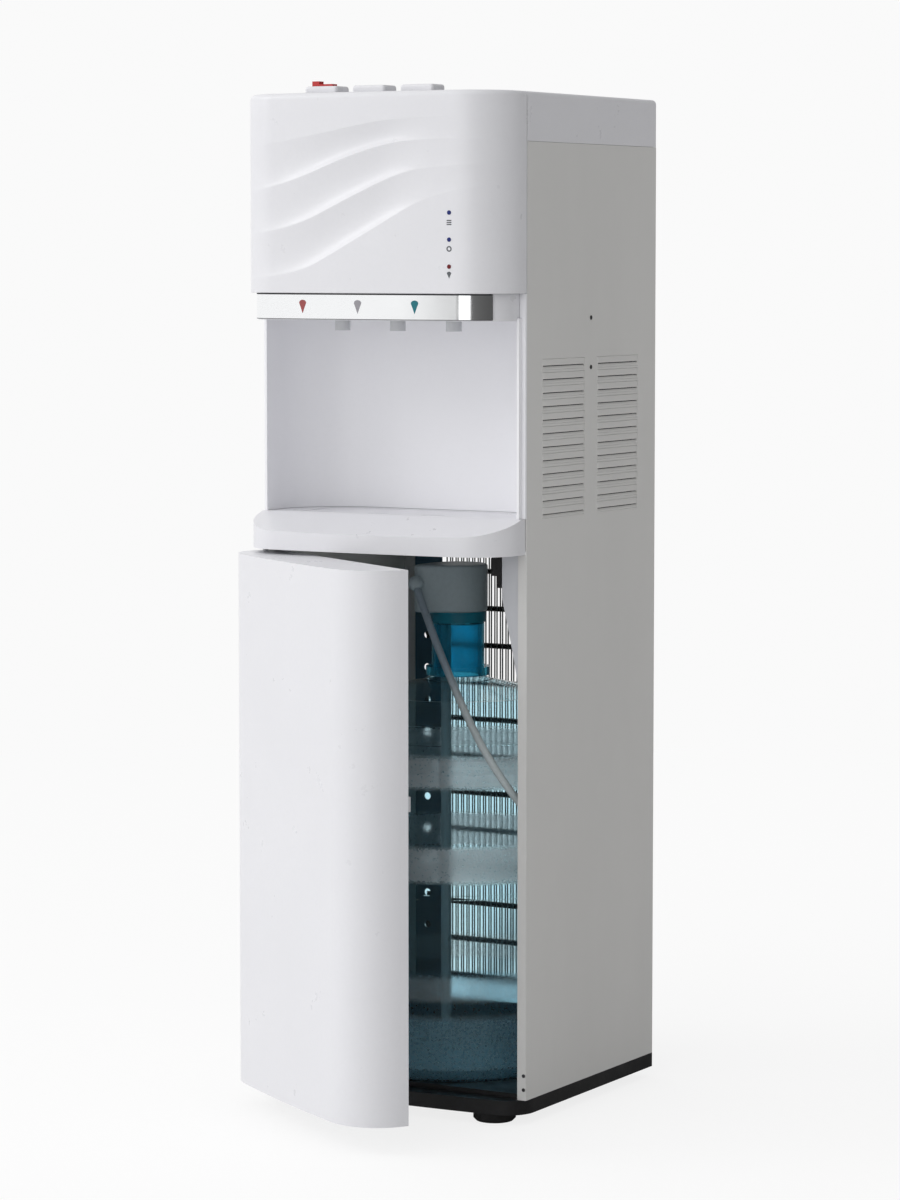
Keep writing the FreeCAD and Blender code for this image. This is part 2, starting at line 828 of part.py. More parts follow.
def make_rear_panel():
    half = "(width/2 - fit_gap*2)"
    sheet = box("rear_sheet", (f"-{half}", half), ("side_depth", "rear_face"), ("deck_bottom", "side_top"))
    low = f"side_depth - {CUT_MARGIN}"
    through = f"metal_gauge + 2*{CUT_MARGIN}"
    window_half = "(rocker_pitch/2 + rocker_width/2 + window_margin)"
    window_up = "(rocker_half + 2*window_margin)"
    window = box("rocker_window", (f"rocker_across - {window_half}", f"rocker_across + {window_half}"),
                 (low, f"rear_face + {CUT_MARGIN}"),
                 (f"rocker_level - {window_up}", f"rocker_level + {window_up}"))
    gland_hole = cylinder("gland_hole", "gland_radius - gland_shoulder", ("gland_across", low, "gland_level"),
                          through, "y")
    drain_hole = cylinder("drain_hole", "drain_bore", ("-hot_across", low, "drain_level"), through, "y")
    keep("rear_panel", cut("rear_panel_cut", sheet, window, gland_hole, drain_hole))


def make_rear_rails():
    rails = []
    for side in (LEFT, RIGHT):
        body = new_body("rear_rail")
        face = sketch_on(body, "XZ_Plane", "-rear_face")
        rectangle(face, (f"{side}*rail_inner", f"{side}*rail_outer"),
                  ("side_bottom", "deck_bottom - seat_gap"))
        pad(body, face, "metal_gauge")
        hole = sketch_on(body, "XZ_Plane", "-side_depth")
        circle(hole, "rail_hole_radius", f"{side}*rail_hole_across", "rail_hole_low")
        first = pocket(body, hole, f"metal_gauge + {CUT_MARGIN}")
        repeat(body, first, hole, "V_Axis", "rail_holes", "rail_hole_pitch")
        rails.append(body)
    keep("rear_rails", group("rear_rail_group", rails))


def make_condenser_tube():
    """Level runs joined by half rings, bottom to top."""
    half, back, low, pitch = (value(name) for name in ("tube_half", "tube_back", "tube_low", "tube_pitch"))
    edges = []
    for run in range(int(value("tube_rows"))):
        heading = 1 if run % 2 == 0 else -1
        level = low + run * pitch
        start = Vector(-heading * half, back, level)
        end = Vector(heading * half, back, level)
        edges.append(Part.LineSegment(start, end).toShape())
        if run + 1 < int(value("tube_rows")):
            outermost = Vector(heading * (half + pitch / 2), back, level + pitch / 2)
            edges.append(Part.Arc(end, outermost, Vector(end.x, back, level + pitch)).toShape())
    wire = Part.Wire(edges)
    ring = Part.Wire(Part.makeCircle(value("tube_radius"), Vector(-half, back, low), Vector(1, 0, 0)))
    keep("condenser_tube", free_shape("condenser_route", wire.makePipeShell([ring], True, True)))


def make_condenser_wires():
    wires = []
    reach = "(tube_radius + weld_gap + wire_radius)"
    for row in (f"tube_back - {reach}", f"tube_back + {reach}"):
        for number in range(int(value("wire_half_count"))):
            for side in (LEFT, RIGHT):
                across = f"{side}*wire_pitch*({number} + 0.5)"
                wires.append(cylinder("wire", "wire_radius", (across, row, "tube_low - wire_tail"),
                                      "tube_top - tube_low + wire_tail + wire_overhang"))
    keep("condenser_wires", group("wire_group", wires))


def make_condenser_clips():
    clips = []
    for side in (LEFT, RIGHT):
        for level in ("tube_low + tube_pitch", "tube_top - 2*tube_pitch"):
            inner = f"{side}*(tube_half + clip_width/4)"
            outer = f"{side}*(tube_half + clip_width*5/4)"
            low_x, high_x = (outer, inner) if side == LEFT else (inner, outer)
            clips.append(box("clip", (low_x, high_x), ("rear_face", "rear_face + clip_thickness"),
                             (f"{level} - clip_height/2", f"{level} + tube_pitch + clip_height/2")))
    keep("condenser_clips", group("clip_group", clips))


def make_back_fittings():
    outward = "rear_face + bezel_thickness"
    window_half = "(rocker_pitch/2 + rocker_width/2 + bezel_margin)"
    plate = box("bezel_plate", (f"rocker_across - {window_half}", f"rocker_across + {window_half}"),
                ("rear_face", outward),
                ("rocker_level - rocker_half - bezel_margin", "rocker_level + rocker_half + bezel_margin"))
    holes = []
    for side, node in ((LEFT, "switch_hot"), (RIGHT, "switch_cold")):
        middle = f"(rocker_across + {side}*rocker_pitch/2)"
        hole_up = "(rocker_half + rocker_gap)"
        holes.append(box("rocker_hole",
                         (f"{middle} - rocker_width/2 - fit_gap", f"{middle} + rocker_width/2 + fit_gap"),
                         (f"rear_face - {CUT_MARGIN}", f"{outward} + {CUT_MARGIN}"),
                         (f"rocker_level - {hole_up}", f"rocker_level + {hole_up}")))
        make_rocker(node, middle)
    keep("rear_switch_bezel", cut("bezel", plate, *holes))
    gland = fuse("gland_fused",
                 cylinder("gland_collar", "gland_radius", ("gland_across", "rear_face", "gland_level"),
                          "gland_length", "y"),
                 cylinder("gland_neck", "gland_radius - gland_shoulder - seat_gap",
                          ("gland_across", "side_depth - gland_length", "gland_level"),
                          "rear_face - side_depth + gland_length", "y"))
    gland_bore = cylinder("gland_bore", "gland_bore",
                          ("gland_across", f"side_depth - gland_length - {CUT_MARGIN}", "gland_level"),
                          f"gland_length*2 + metal_gauge + 2*{CUT_MARGIN}", "y")
    keep("cord_gland", cut("gland", gland, gland_bore))
    spigot = cylinder("spigot", "drain_radius", ("-hot_across", "rear_face", "drain_level"),
                      "drain_length", "y")
    bore = cylinder("spigot_bore", "drain_bore", ("-hot_across", f"rear_face - {CUT_MARGIN}", "drain_level"),
                    f"drain_length + 2*{CUT_MARGIN}", "y")
    keep("drain_outlet", cut("drain", spigot, bore))
    start = "rear_face + seat_gap"
    cap = cylinder("drain_cap_outer", "drain_radius + seat_gap + drain_cap_wall",
                   ("-hot_across", start, "drain_level"), "drain_length + drain_cap_wall", "y")
    inside = cylinder("drain_cap_inner", "drain_radius + seat_gap",
                      ("-hot_across", f"{start} - {CUT_MARGIN}", "drain_level"),
                      f"drain_length + {CUT_MARGIN}", "y")
    keep("drain_cap", cut("drain_cap_cut", cap, inside))


def make_rocker(node, middle):
    """A rocker with two sloping halves, drawn level and standing tilted to one side."""
    body = new_body(f"{node}_body")
    side_view = sketch_on(body, "YZ_Plane", "-rocker_width/2")
    polygon(side_view, [("-rocker_sunk", "rocker_taper - rocker_half"), ("rocker_proud", "-rocker_half"),
                        ("rocker_dip", "0"), ("rocker_proud", "rocker_half"),
                        ("-rocker_sunk", "rocker_half - rocker_taper")])
    pad(body, side_view, "rocker_width")
    pivot = Vector(value(middle), value("rear_face"), value("rocker_level"))
    keep(node, body, Placement(pivot, Rotation(Vector(1, 0, 0), value("rocker_tilt"))))


# Decks, compressor and tanks


def make_deck(node, bottom):
    """A steel deck between the side panels, with a turned-up lip at each side and a notch for the riser."""
    half = "(panel_inner - seat_gap)"
    back = "side_depth - metal_gauge - seat_gap"
    plate = box(f"{node}_plate", (f"-{half}", half), ("deck_front", back),
                (bottom, f"{bottom} + metal_gauge"))
    lips = [
        box(f"{node}_lip", (f"-{half}", f"metal_gauge - {half}"), ("deck_front", back),
            (bottom, f"{bottom} + deck_lip")),
        box(f"{node}_lip", (f"{half} - metal_gauge", half), ("deck_front", back),
            (bottom, f"{bottom} + deck_lip")),
    ]
    notch = box(f"{node}_notch", ("riser_across - notch_size/2", f"{half} + {CUT_MARGIN}"),
                ("riser_back - notch_size/2", f"side_depth + {CUT_MARGIN}"),
                (f"{bottom} - {CUT_MARGIN}", f"{bottom} + deck_lip + {CUT_MARGIN}"))
    keep(node, cut(f"{node}_notched", fuse(f"{node}_fused", plate, *lips), notch))


def make_compressor():
    radius = "compressor_radius"
    height = "compressor_height"
    seam = "compressor_seam"
    shell = turned("compressor_shell", [
        ("0", "compressor_foot"), (f"{radius}*0.6", "compressor_foot"),
        (f"{radius}*0.9", "compressor_foot + compressor_dish"), (radius, "compressor_foot + compressor_cup"),
        (radius, f"{height}/2 - {seam}"), (f"{radius} + {seam}", f"{height}/2 - {seam}"),
        (f"{radius} + {seam}", f"{height}/2 + {seam}"), (radius, f"{height}/2 + {seam}"),
        (radius, f"{height} - compressor_crown"), (f"{radius}*0.85", f"{height} - compressor_crown*0.4"),
        (f"{radius}*0.5", f"{height} - compressor_crown/15"), ("0", height)])
    foot = box("compressor_foot_plate", ("-mount_across - mount_radius", "mount_across + mount_radius"),
               ("-mount_along - mount_radius", "mount_along + mount_radius"), ("0", "compressor_foot"))
    spot = standing_at("-compressor_left", "tank_back", "compressor_bottom")
    keep("compressor", fuse("compressor_fused", shell, foot), spot)
    mounts = []
    for across in (LEFT, RIGHT):
        for along in (LEFT, RIGHT):
            mounts.append(cylinder("mount", "mount_radius",
                                   (f"{across}*mount_across - compressor_left",
                                    f"{along}*mount_along + tank_back", "deck_top"), "mount_height"))
    keep("compressor_mounts", group("mount_group", mounts))


def make_cold_tank():
    spot = standing_at("cold_across", "tank_back", "cold_bottom")
    wall = "tank_wall"
    cup = turned("cold_cup", [("0", "0"), ("cold_radius", "0"), ("cold_radius", "cold_height"),
                              (f"cold_radius - {wall}", "cold_height"), (f"cold_radius - {wall}", wall),
                              ("0", wall)])
    keep("cold_tank", cup, spot)
    bore = "(cold_radius + 2*seat_gap + 2*coil_radius)"
    sleeve = turned("sleeve", [("0", "-insulation_floor"), ("insulation_outer", "-insulation_floor"),
                               ("insulation_outer", "cold_height"), (bore, "cold_height"), (bore, "0"),
                               ("0", "0")])
    keep("cold_tank_insulation", sleeve, spot)
    lid = turned("lid", [("0", "cold_height"), ("insulation_outer", "cold_height"),
                         ("insulation_outer", "cold_height + lid_height"),
                         ("inlet_radius", "cold_height + lid_height"),
                         ("inlet_radius", "cold_height + lid_height + inlet_height"),
                         ("0", "cold_height + lid_height + inlet_height")])
    keep("cold_tank_lid", lid, spot)
    turns = []
    for number in range(int(value("coil_turns"))):
        ring = doc.addObject("Part::Torus", "coil_turn")
        bind(ring, "Radius1", "cold_radius + seat_gap + coil_radius")
        bind(ring, "Radius2", "coil_radius")
        bind(ring, "Placement.Base.z", f"coil_low + {number}*coil_pitch")
        turns.append(ring)
    keep("evaporator_coil", group("coil_group", turns), spot)


def make_hot_tank():
    spot = standing_at("-hot_across", "tank_back", "shelf_top")
    wall = "tank_wall"
    mouth = "(heater_rod + fit_gap)"
    vessel = turned("hot_vessel", [("0", "0"), ("hot_radius", "0"), ("hot_radius", "hot_height"),
                                   (mouth, "hot_height"), (mouth, f"hot_height - {wall}"),
                                   (f"hot_radius - {wall}", f"hot_height - {wall}"),
                                   (f"hot_radius - {wall}", wall), ("0", wall)])
    keep("hot_tank", vessel, spot)
    jacket = turned("jacket", [("hot_radius + seat_gap", "0"), ("jacket_outer", "0"),
                               ("jacket_outer", "hot_height"), ("hot_radius + seat_gap", "hot_height")])
    keep("hot_tank_jacket", jacket, spot)
    heater = turned("heater", [("0", "hot_height - heater_depth"),
                               ("heater_rod", "hot_height - heater_depth"),
                               ("heater_rod", "hot_height"), ("heater_flange", "hot_height"),
                               ("heater_flange", "hot_height + heater_plate"),
                               ("heater_flange/2", "hot_height + heater_cap"),
                               ("0", "hot_height + heater_cap")])
    keep("hot_tank_heater", heater, spot)


# Water side


def make_pump():
    radius = "pump_radius"
    pump = turned("pump", [("0", "0"), (f"{radius} + pump_flange", "0"),
                           (f"{radius} + pump_flange", "pump_plate"),
                           (radius, "pump_plate"), (radius, "pump_height - pump_shoulder"),
                           (f"{radius}*0.8", "pump_height - pump_neck"),
                           (f"{radius}*0.8", "pump_height - pump_rim"), (f"{radius}*0.7", "pump_height"),
                           ("0", "pump_height")])
    keep("water_pump", pump, standing_at("pump_across", "pump_back", "floor_top"))


def make_water_hoses():
    """The riser from the pump to the cold tank, and a straight hose from each tank to its tap."""
    pump_top = value("floor_top + pump_height + seat_gap")
    inlet = Vector(value("cold_across"), value("tank_back"), 0)
    riser_x, riser_y = value("riser_across"), value("riser_back")
    level = value("cold_top + lid_height + inlet_height/2")
    from_pump = Vector(value("pump_across + pump_radius/2"), value("pump_back + pump_radius/3"), pump_top)
    corner = Vector(riser_x, riser_y, level)
    toward = (Vector(inlet.x, inlet.y, level) - corner).normalize()
    end = Vector(inlet.x, inlet.y, level) - toward * value("inlet_radius + seat_gap")
    above_pump = from_pump + Vector(0, 0, value("riser_start"))
    beside_panel = Vector(riser_x, riser_y, pump_top + value("riser_turn"))
    riser, _, _ = tube([from_pump, above_pump, beside_panel, corner, end], value("hose_radius"),
                       value("hose_bore"), value("riser_bend"))
    hoses = [free_shape("riser", riser)]
    behind_tap = "(tap_back + nipple_length + seat_gap)"
    for side, centre, radius in ((LEFT, "-hot_across", "jacket_outer"),
                                 ("0", "cold_across", "insulation_outer"),
                                 (RIGHT, "cold_across", "insulation_outer")):
        across = f"{side}*spout_pitch"
        offset = f"(abs({across} - ({centre})) - hose_radius)"
        reach = f"(tank_back - sqrt(({radius})^2 - {offset}^2) - seat_gap)"
        outer = cylinder("tap_hose", "hose_radius", (across, behind_tap, "nipple_level"),
                         f"{reach} - {behind_tap}", "y")
        inner = cylinder("tap_hose_bore", "hose_bore",
                         (across, f"{behind_tap} - {CUT_MARGIN}", "nipple_level"),
                         f"{reach} - {behind_tap} + 2*{CUT_MARGIN}", "y")
        hoses.append(cut("tap_hose_cut", outer, inner))
    keep("water_hoses", group("hose_group", hoses))


def make_control_box():
    keep("control_box", group("control_box_group", [
        box("control_housing", ("-box_left", "-box_right"), ("side_depth - box_depth", "side_depth"),
            ("box_low", "box_low + box_height"))]))


# Fascia, lights, top cover


def make_fascia():
    body = new_body("fascia")
    outline = sketch_on(body, offset="fascia_bottom")
    front_outline(outline, "0", "0")
    pad(body, outline, "cabinet_height - fascia_bottom")
    top = value("cabinet_height")

    def is_top_front(edge):
        box_ = edge.BoundBox
        return box_.ZMin > top - SAME_LEVEL and box_.YMin < -CUT_MARGIN
    round_edges(body, "top_round", is_top_front)
    inside = sketch_on(body, offset=f"fascia_bottom - {CUT_MARGIN}")
    front_outline(inside, "plastic_wall", f"{CUT_MARGIN}")
    pocket(body, inside, f"fascia_height - fascia_top_wall + {CUT_MARGIN}", along_normal=True)
    holes = sketch_on(body, offset=f"cabinet_height + {CUT_MARGIN}")
    for side in (LEFT, "0", RIGHT):
        middle = f"({side}*button_pitch)"
        half = "(button_width/2 + fit_gap)"
        half_along = "(button_length/2 + fit_gap)"
        rectangle(holes, (f"{middle} - {half}", f"{middle} + {half}"),
                  (f"-button_forward - {half_along}", f"{half_along} - button_forward"))
    pocket(body, holes, f"fascia_top_wall + 2*{CUT_MARGIN}")
    light = sketch_on(body, "XZ_Plane", "bulge")
    circle(light, "lens_radius + seat_gap", "lens_across", "lens_low")
    first = pocket(body, light, "lens_hole")
    repeat(body, first, light, "V_Axis", "lens_count", "lens_pitch")
    keep("front_fascia", body)




def make_lights():
    lenses = [cylinder("lens", "lens_radius", ("lens_across", "lens_face", f"lens_low + {number}*lens_pitch"),
                       "lens_length", "y") for number in range(int(value("lens_count")))]
    keep("indicator_lenses", group("lens_group", lenses))
    near = "(lens_face + lens_length)"
    keep("display_board", group("board_group", [
        box("board", ("lens_across - board_width", "lens_across + board_width/2"),
            (near, f"{near} + board_thickness"),
            ("lens_low - board_margin", "lens_low + (lens_count - 1)*lens_pitch + board_margin"))]))


def make_top_cover():
    """The rear lid, whose skirt meets the side panels and whose front is open to the fascia."""
    body = new_body("cover")
    outline = sketch_on(body, offset="side_top + seat_gap")
    rear = "rear_face + cover_proud"
    rectangle(outline, ("-width/2", "width/2"), ("seat_gap", rear))
    pad(body, outline, "cabinet_height - side_top - seat_gap")
    top, back = value("cabinet_height"), value(rear)

    def is_outer(edge):
        box_ = edge.BoundBox
        at_top = box_.ZMin > top - SAME_LEVEL and box_.YMax > CUT_MARGIN
        upright_rear = box_.YMin > back - SAME_LEVEL and box_.XLength < SAME_LEVEL
        return at_top or upright_rear
    round_edges(body, "cover_round", is_outer)
    inside = sketch_on(body, offset="side_top + seat_gap")
    half = "(width/2 - plastic_wall)"
    rectangle(inside, (f"-{half}", half), (f"-{CUT_MARGIN}", f"{rear} - plastic_wall"))
    pocket(body, inside, "cabinet_height - fascia_top_wall - side_top - seat_gap", along_normal=True)
    keep("top_cover", body)


# Alcove, hood, trim, taps


def make_alcove_panel():
    body = new_body("alcove")
    bottom = "(ledge_top + seat_gap)"
    outline = sketch_on(body, offset=bottom)
    alcove_outline(outline, "alcove_half", "-alcove_lip", "alcove_back", "alcove_corner")
    pad(body, outline, f"hood_floor - {bottom}")
    lips = sketch_on(body, offset=bottom)
    for side in (LEFT, RIGHT):
        rectangle(lips, (f"{side}*(alcove_half - plastic_wall)", f"{side}*width/2"), ("-alcove_flange", "0"))
    pad(body, lips, f"fascia_bottom - seat_gap - {bottom}")
    inside = sketch_on(body, offset=bottom)
    alcove_outline(inside, "alcove_half - plastic_wall", f"-alcove_lip - {CUT_MARGIN}",
                   "alcove_back - plastic_wall", "alcove_corner - plastic_wall")
    pocket(body, inside, f"hood_bottom - {bottom}", along_normal=True)
    hood_way = sketch_on(body, offset=f"fascia_bottom + {CUT_MARGIN}")
    half = "(alcove_half - plastic_wall)"
    rectangle(hood_way, (f"-{half}", half), (f"-alcove_lip - {CUT_MARGIN}", "hood_back + seat_gap"))
    pocket(body, hood_way, f"fascia_bottom - hood_bottom + 2*{CUT_MARGIN}")
    keep("alcove_panel", body)


def make_hood():
    body = new_body("hood")
    outline = sketch_on(body, offset="hood_bottom")
    front_outline(outline, "hood_inset", "hood_back")
    pad(body, outline, "fascia_bottom - seat_gap - hood_bottom")
    inside = sketch_on(body, offset="hood_floor")
    front_outline(inside, "hood_inset + plastic_wall", "hood_back - plastic_wall")
    pocket(body, inside, "fascia_bottom - hood_floor", along_normal=True)
    spouts = sketch_on(body, offset=f"hood_floor + {CUT_MARGIN}")
    for side in (LEFT, "0", RIGHT):
        circle(spouts, "spout_radius + spout_clearance", f"{side}*spout_pitch", "spout_back")
    pocket(body, spouts, f"plastic_wall + 2*{CUT_MARGIN}")
    keep("dispense_hood", body)


def make_trim():
    """A thin band round the front of the hood, which ends part of the way round each corner."""
    body = new_body("trim")
    outline = sketch_on(body, offset="trim_bottom")
    front_outline(outline, "hood_inset - trim_thickness", "0")
    pad(body, outline, "trim_height")
    inside = sketch_on(body, offset="trim_bottom")
    front_outline(inside, "hood_inset", f"{CUT_MARGIN}")
    pocket(body, inside, "trim_height", along_normal=True)
    ends = sketch_on(body, offset="trim_bottom")
    rectangle(ends, ("-width/2", "width/2"), ("-trim_end", f"{CUT_MARGIN}"))
    pocket(body, ends, "trim_height", along_normal=True)
    keep("trim_strip", body)


def make_tap(node, side):
    button_at = f"({side}*button_pitch)"
    spout_at = f"({side}*spout_pitch)"
    valve_depth = "(rod_engaged + button_travel + valve_floor)"
    block = box(f"{node}_block", (f"min({button_at}; {spout_at}) - tap_half",
                                  f"max({button_at}; {spout_at}) + tap_half"),
                ("-tap_front", "tap_back"), ("hood_floor", "tap_top"))
    spout = cylinder(f"{node}_spout", "spout_radius", (spout_at, "spout_back", "spout_low"),
                     "hood_floor - spout_low + spout_root")
    nipple = cylinder(f"{node}_nipple", "hose_radius + nipple_wall",
                      (spout_at, f"tap_back - {CUT_MARGIN}", "nipple_level"),
                      f"nipple_length + {CUT_MARGIN}", "y")
    spout_bore = cylinder(f"{node}_spout_bore", "spout_bore",
                          (spout_at, "spout_back", f"spout_low - {CUT_MARGIN}"),
                          "hood_floor - spout_low + spout_bore_depth")
    rod_bore = cylinder(f"{node}_rod_bore", "rod_radius + fit_gap",
                        (button_at, "-button_forward", f"tap_top - {valve_depth}"),
                        f"{valve_depth} + {CUT_MARGIN}")
    keep(node, cut(f"{node}_bored", fuse(f"{node}_fused", block, spout, nipple), spout_bore, rod_bore))


# Buttons


def make_button(node, side):
    """A push button with its long rod, which ends inside the tap's valve."""
    body = new_body(f"{node}_cap")
    face = sketch_on(body, offset="cabinet_height - button_depth")
    middle = f"({side}*button_pitch)"
    half = "(button_width/2)"
    half_along = "(button_length/2)"
    rectangle(face, (f"{middle} - {half}", f"{middle} + {half}"),
              (f"-button_forward - {half_along}", f"{half_along} - button_forward"))
    pad(body, face, "button_depth + button_rise")
    corners = value("cabinet_height - button_depth")
    round_edges(body, "button_round", lambda edge: edge.BoundBox.ZMax > corners + CUT_MARGIN)
    rod_low = "(tap_top - rod_engaged)"
    rod = cylinder(f"{node}_rod", "rod_radius", (middle, "-button_forward", rod_low),
                   f"cabinet_height - button_depth - {rod_low} + {CUT_MARGIN}")
    keep(node, fuse(f"{node}_fused", body, rod))


def make_child_lock():
    top = "(cabinet_height + button_rise + seat_gap)"
    left = "(-button_pitch - button_width/2 + lock_inset)"
    along = ("-button_forward - lock_width/2", "lock_width/2 - button_forward")
    bar = box("lock_bar", (left, f"{left} + lock_length"), along, (top, f"{top} + lock_height"))
    thumb = box("lock_thumb_bar", (left, f"{left} + lock_length/3"), along, (top, f"{top} + lock_thumb"))
    keep("child_lock", fuse("lock_fused", bar, thumb))


# Ledge, tray and grille


def make_ledge():
    """The shelf under the alcove: level at the tray, sloping down from there to its curved front."""
    body = new_body("ledge")
    outline = sketch_on(body, offset="ledge_bottom")
    front_outline(outline, "ledge_inset", "0")
    pad(body, outline, "ledge_top - ledge_bottom")
    deck = sketch_on(body, offset="ledge_bottom + ledge_lift")
    half = "(panel_inner - seat_gap*2)"
    rectangle(deck, (f"-{half}", half), ("-2*metal_gauge", "deck_front - seat_gap"))
    pad(body, deck, "ledge_top - ledge_bottom - ledge_lift")
    recess = sketch_on(body, offset=f"ledge_top + {CUT_MARGIN}")
    rectangle(recess, ("-tray_half", "tray_half"), ("0", "tray_back"))
    pocket(body, recess, f"tray_depth + {CUT_MARGIN}")
    apron = sketch_on(body, "YZ_Plane", f"width/2 + {CUT_MARGIN}")
    run = f"(bulge - alcove_lip + {CUT_MARGIN})"
    polygon(apron, [("-alcove_lip", "ledge_top"),
                    (f"-alcove_lip - {run}", f"ledge_top - ledge_fall*{run}/(bulge - alcove_lip)"),
                    (f"-alcove_lip - {run}", f"ledge_top + {CUT_MARGIN}"),
                    ("-alcove_lip", f"ledge_top + {CUT_MARGIN}")])
    pocket(body, apron, f"width + 2*{CUT_MARGIN}")
    keep("ledge_housing", body)


def tray_plan(drawn, inset):
    half = f"(tray_half - ({inset}))"
    rectangle(drawn, (f"-{half}", half), (inset, f"tray_back - ({inset})"))


def make_drip_tray():
    body = new_body("tray")
    outline = sketch_on(body, offset="tray_bottom")
    tray_plan(outline, "fit_gap")
    pad(body, outline, "tray_rim - tray_bottom")
    basin = sketch_on(body, offset=f"tray_rim + {CUT_MARGIN}")
    tray_plan(basin, "fit_gap + tray_step")
    pocket(body, basin, f"tray_rim - tray_bottom - tray_wall + {CUT_MARGIN}")
    seat = sketch_on(body, offset=f"tray_rim + {CUT_MARGIN}")
    tray_plan(seat, "fit_gap + tray_wall")
    pocket(body, seat, f"grille_thickness + {CUT_MARGIN}")
    keep("drip_tray", body)


def make_grille():
    """The flat lid of the tray, with a row of short slots that sits to the left of its middle."""
    body = new_body("grille")
    outline = sketch_on(body, offset="tray_rim - grille_thickness")
    tray_plan(outline, "2*fit_gap + tray_wall")
    pad(body, outline, "grille_thickness")
    slot = sketch_on(body, offset=f"tray_rim + {CUT_MARGIN}")
    first_slot = "(-(grille_slots - 1)*grille_pitch/2 - grille_shift)"
    rectangle(slot, (f"{first_slot} - grille_slot_length/2", f"{first_slot} + grille_slot_length/2"),
              ("grille_slot_back - grille_slot/2", "grille_slot_back + grille_slot/2"))
    first = pocket(body, slot, f"grille_thickness + 2*{CUT_MARGIN}")
    repeat(body, first, slot, "H_Axis", "grille_slots", "grille_pitch")
    keep("drip_grille", body)


# Door, drawn closed and swung about its hinge


def door_place():
    """Swing from the closed place, about the hinge's axis, to the angle of the photograph."""
    pivot = Vector(value("hinge_x"), value("hinge_y"), 0)
    swing = Rotation(Vector(0, 0, 1), -value("door_angle"))
    return Placement(pivot - swing.multVec(pivot), swing)


def make_door():
    body = new_body("door")
    outline = sketch_on(body, offset="door_bottom")
    front_outline(outline, "0", "-door_back")
    pad(body, outline, "door_top - door_bottom")
    inside = sketch_on(body, offset="door_bottom + door_wall")
    front_outline(inside, "door_wall", f"{CUT_MARGIN}")
    pocket(body, inside, "door_top - door_bottom - 2*door_wall", along_normal=True)
    pin_holes = sketch_on(body, offset="door_bottom")
    circle(pin_holes, "pin_radius + fit_gap", "hinge_x", "hinge_y")
    pocket(body, pin_holes, "door_top - door_bottom", along_normal=True)
    keep("door_shell", body, door_place())
    half = "(width/2 - door_wall - seat_gap)"
    keep("door_liner", group("liner_group", [
        box("liner", (f"-{half}", half), ("-door_back - liner_thickness", "-door_back"),
            ("door_bottom + door_wall + seat_gap", "door_top - door_wall - seat_gap"))]), door_place())
    bushes = []
    for low in ("(door_bottom + door_wall)", "(door_top - door_wall - bush_height)"):
        sleeve = cylinder("bush_sleeve", "bush_radius", ("hinge_x", "hinge_y", low), "bush_height")
        bore = cylinder("bush_bore", "pin_radius + pin_fit", ("hinge_x", "hinge_y", f"{low} - {CUT_MARGIN}"),
                        f"bush_height + 2*{CUT_MARGIN}")
        bushes.append(cut("bush", sleeve, bore))
    keep("door_bushes", group("bush_group", bushes), door_place())
    catch_right = "(width/2 - door_wall - fit_gap)"
    keep("door_catch", group("catch_group", [
        box("catch", (f"{catch_right} - catch_width", catch_right), ("-door_back", "catch_depth - door_back"),
            ("catch_low", "catch_low + catch_height"))]), door_place())


def make_hinge_brackets():
    """A plate with a pin at the top and at the bottom of the door."""
    across = ("hinge_x - hinge_plate_left", "hinge_x + hinge_plate_right")
    along = ("-seat_gap - hinge_plate_length", "-seat_gap")
    upper = fuse("upper_bracket",
                 box("upper_plate", across, along, ("ledge_bottom - hinge_plate", "ledge_bottom")),
                 cylinder("upper_pin", "pin_radius",
                          ("hinge_x", "hinge_y", "door_top - door_wall - bush_height + fit_gap"),
                          "ledge_bottom - door_top + door_wall + bush_height - fit_gap"))
    lower = fuse("lower_bracket",
                 box("lower_plate", across, along, ("side_bottom", "side_bottom + hinge_plate")),
                 cylinder("lower_pin", "pin_radius", ("hinge_x", "hinge_y", "side_bottom"),
                          "door_bottom - side_bottom + door_wall + bush_height - fit_gap"))
    keep("hinge_brackets", group("bracket_group", [upper, lower]))


def make_opening_fittings():
    gussets = []
    edge = "(width/2 - front_flange)"
    for side in (LEFT, RIGHT):
        body = new_body("gusset")
        face = sketch_on(body, "XZ_Plane", "-2*metal_gauge")
        bounds = [("(panel_inner - seat_gap)", "ledge_bottom"), (f"({edge} - gusset_width)", "ledge_bottom"),
                  (f"({edge} - gusset_width)", "ledge_bottom - gusset_height/3"),
                  (f"({edge} - gusset_width/3)", "ledge_bottom - gusset_height*3/4"),
                  (edge, "ledge_bottom - gusset_height"),
                  ("(panel_inner - seat_gap)", "ledge_bottom - gusset_height")]
        polygon(face, [(f"{side}*{across}", up) for across, up in bounds])
        pad(body, face, "metal_gauge")
        gussets.append(body)
    keep("corner_gussets", group("gusset_group", gussets))
    top = "(ledge_bottom + ledge_lift)"
    far = "(2*metal_gauge + seat_gap + switch_depth)"
    housing = box("switch_housing", ("switch_across", "switch_across + switch_width"),
                  ("2*metal_gauge + seat_gap", far), (f"{top} - switch_height", top))
    tongue = box("switch_tongue", ("switch_across + switch_width/2", "switch_across + switch_width"),
                 ("2*metal_gauge + seat_gap", f"{far} - switch_depth/2"),
                 (f"{top} - switch_height - tongue_length", f"{top} - switch_height"))
    keep("door_switch", fuse("switch_fused", housing, tongue))


# Bottle, cap and probe


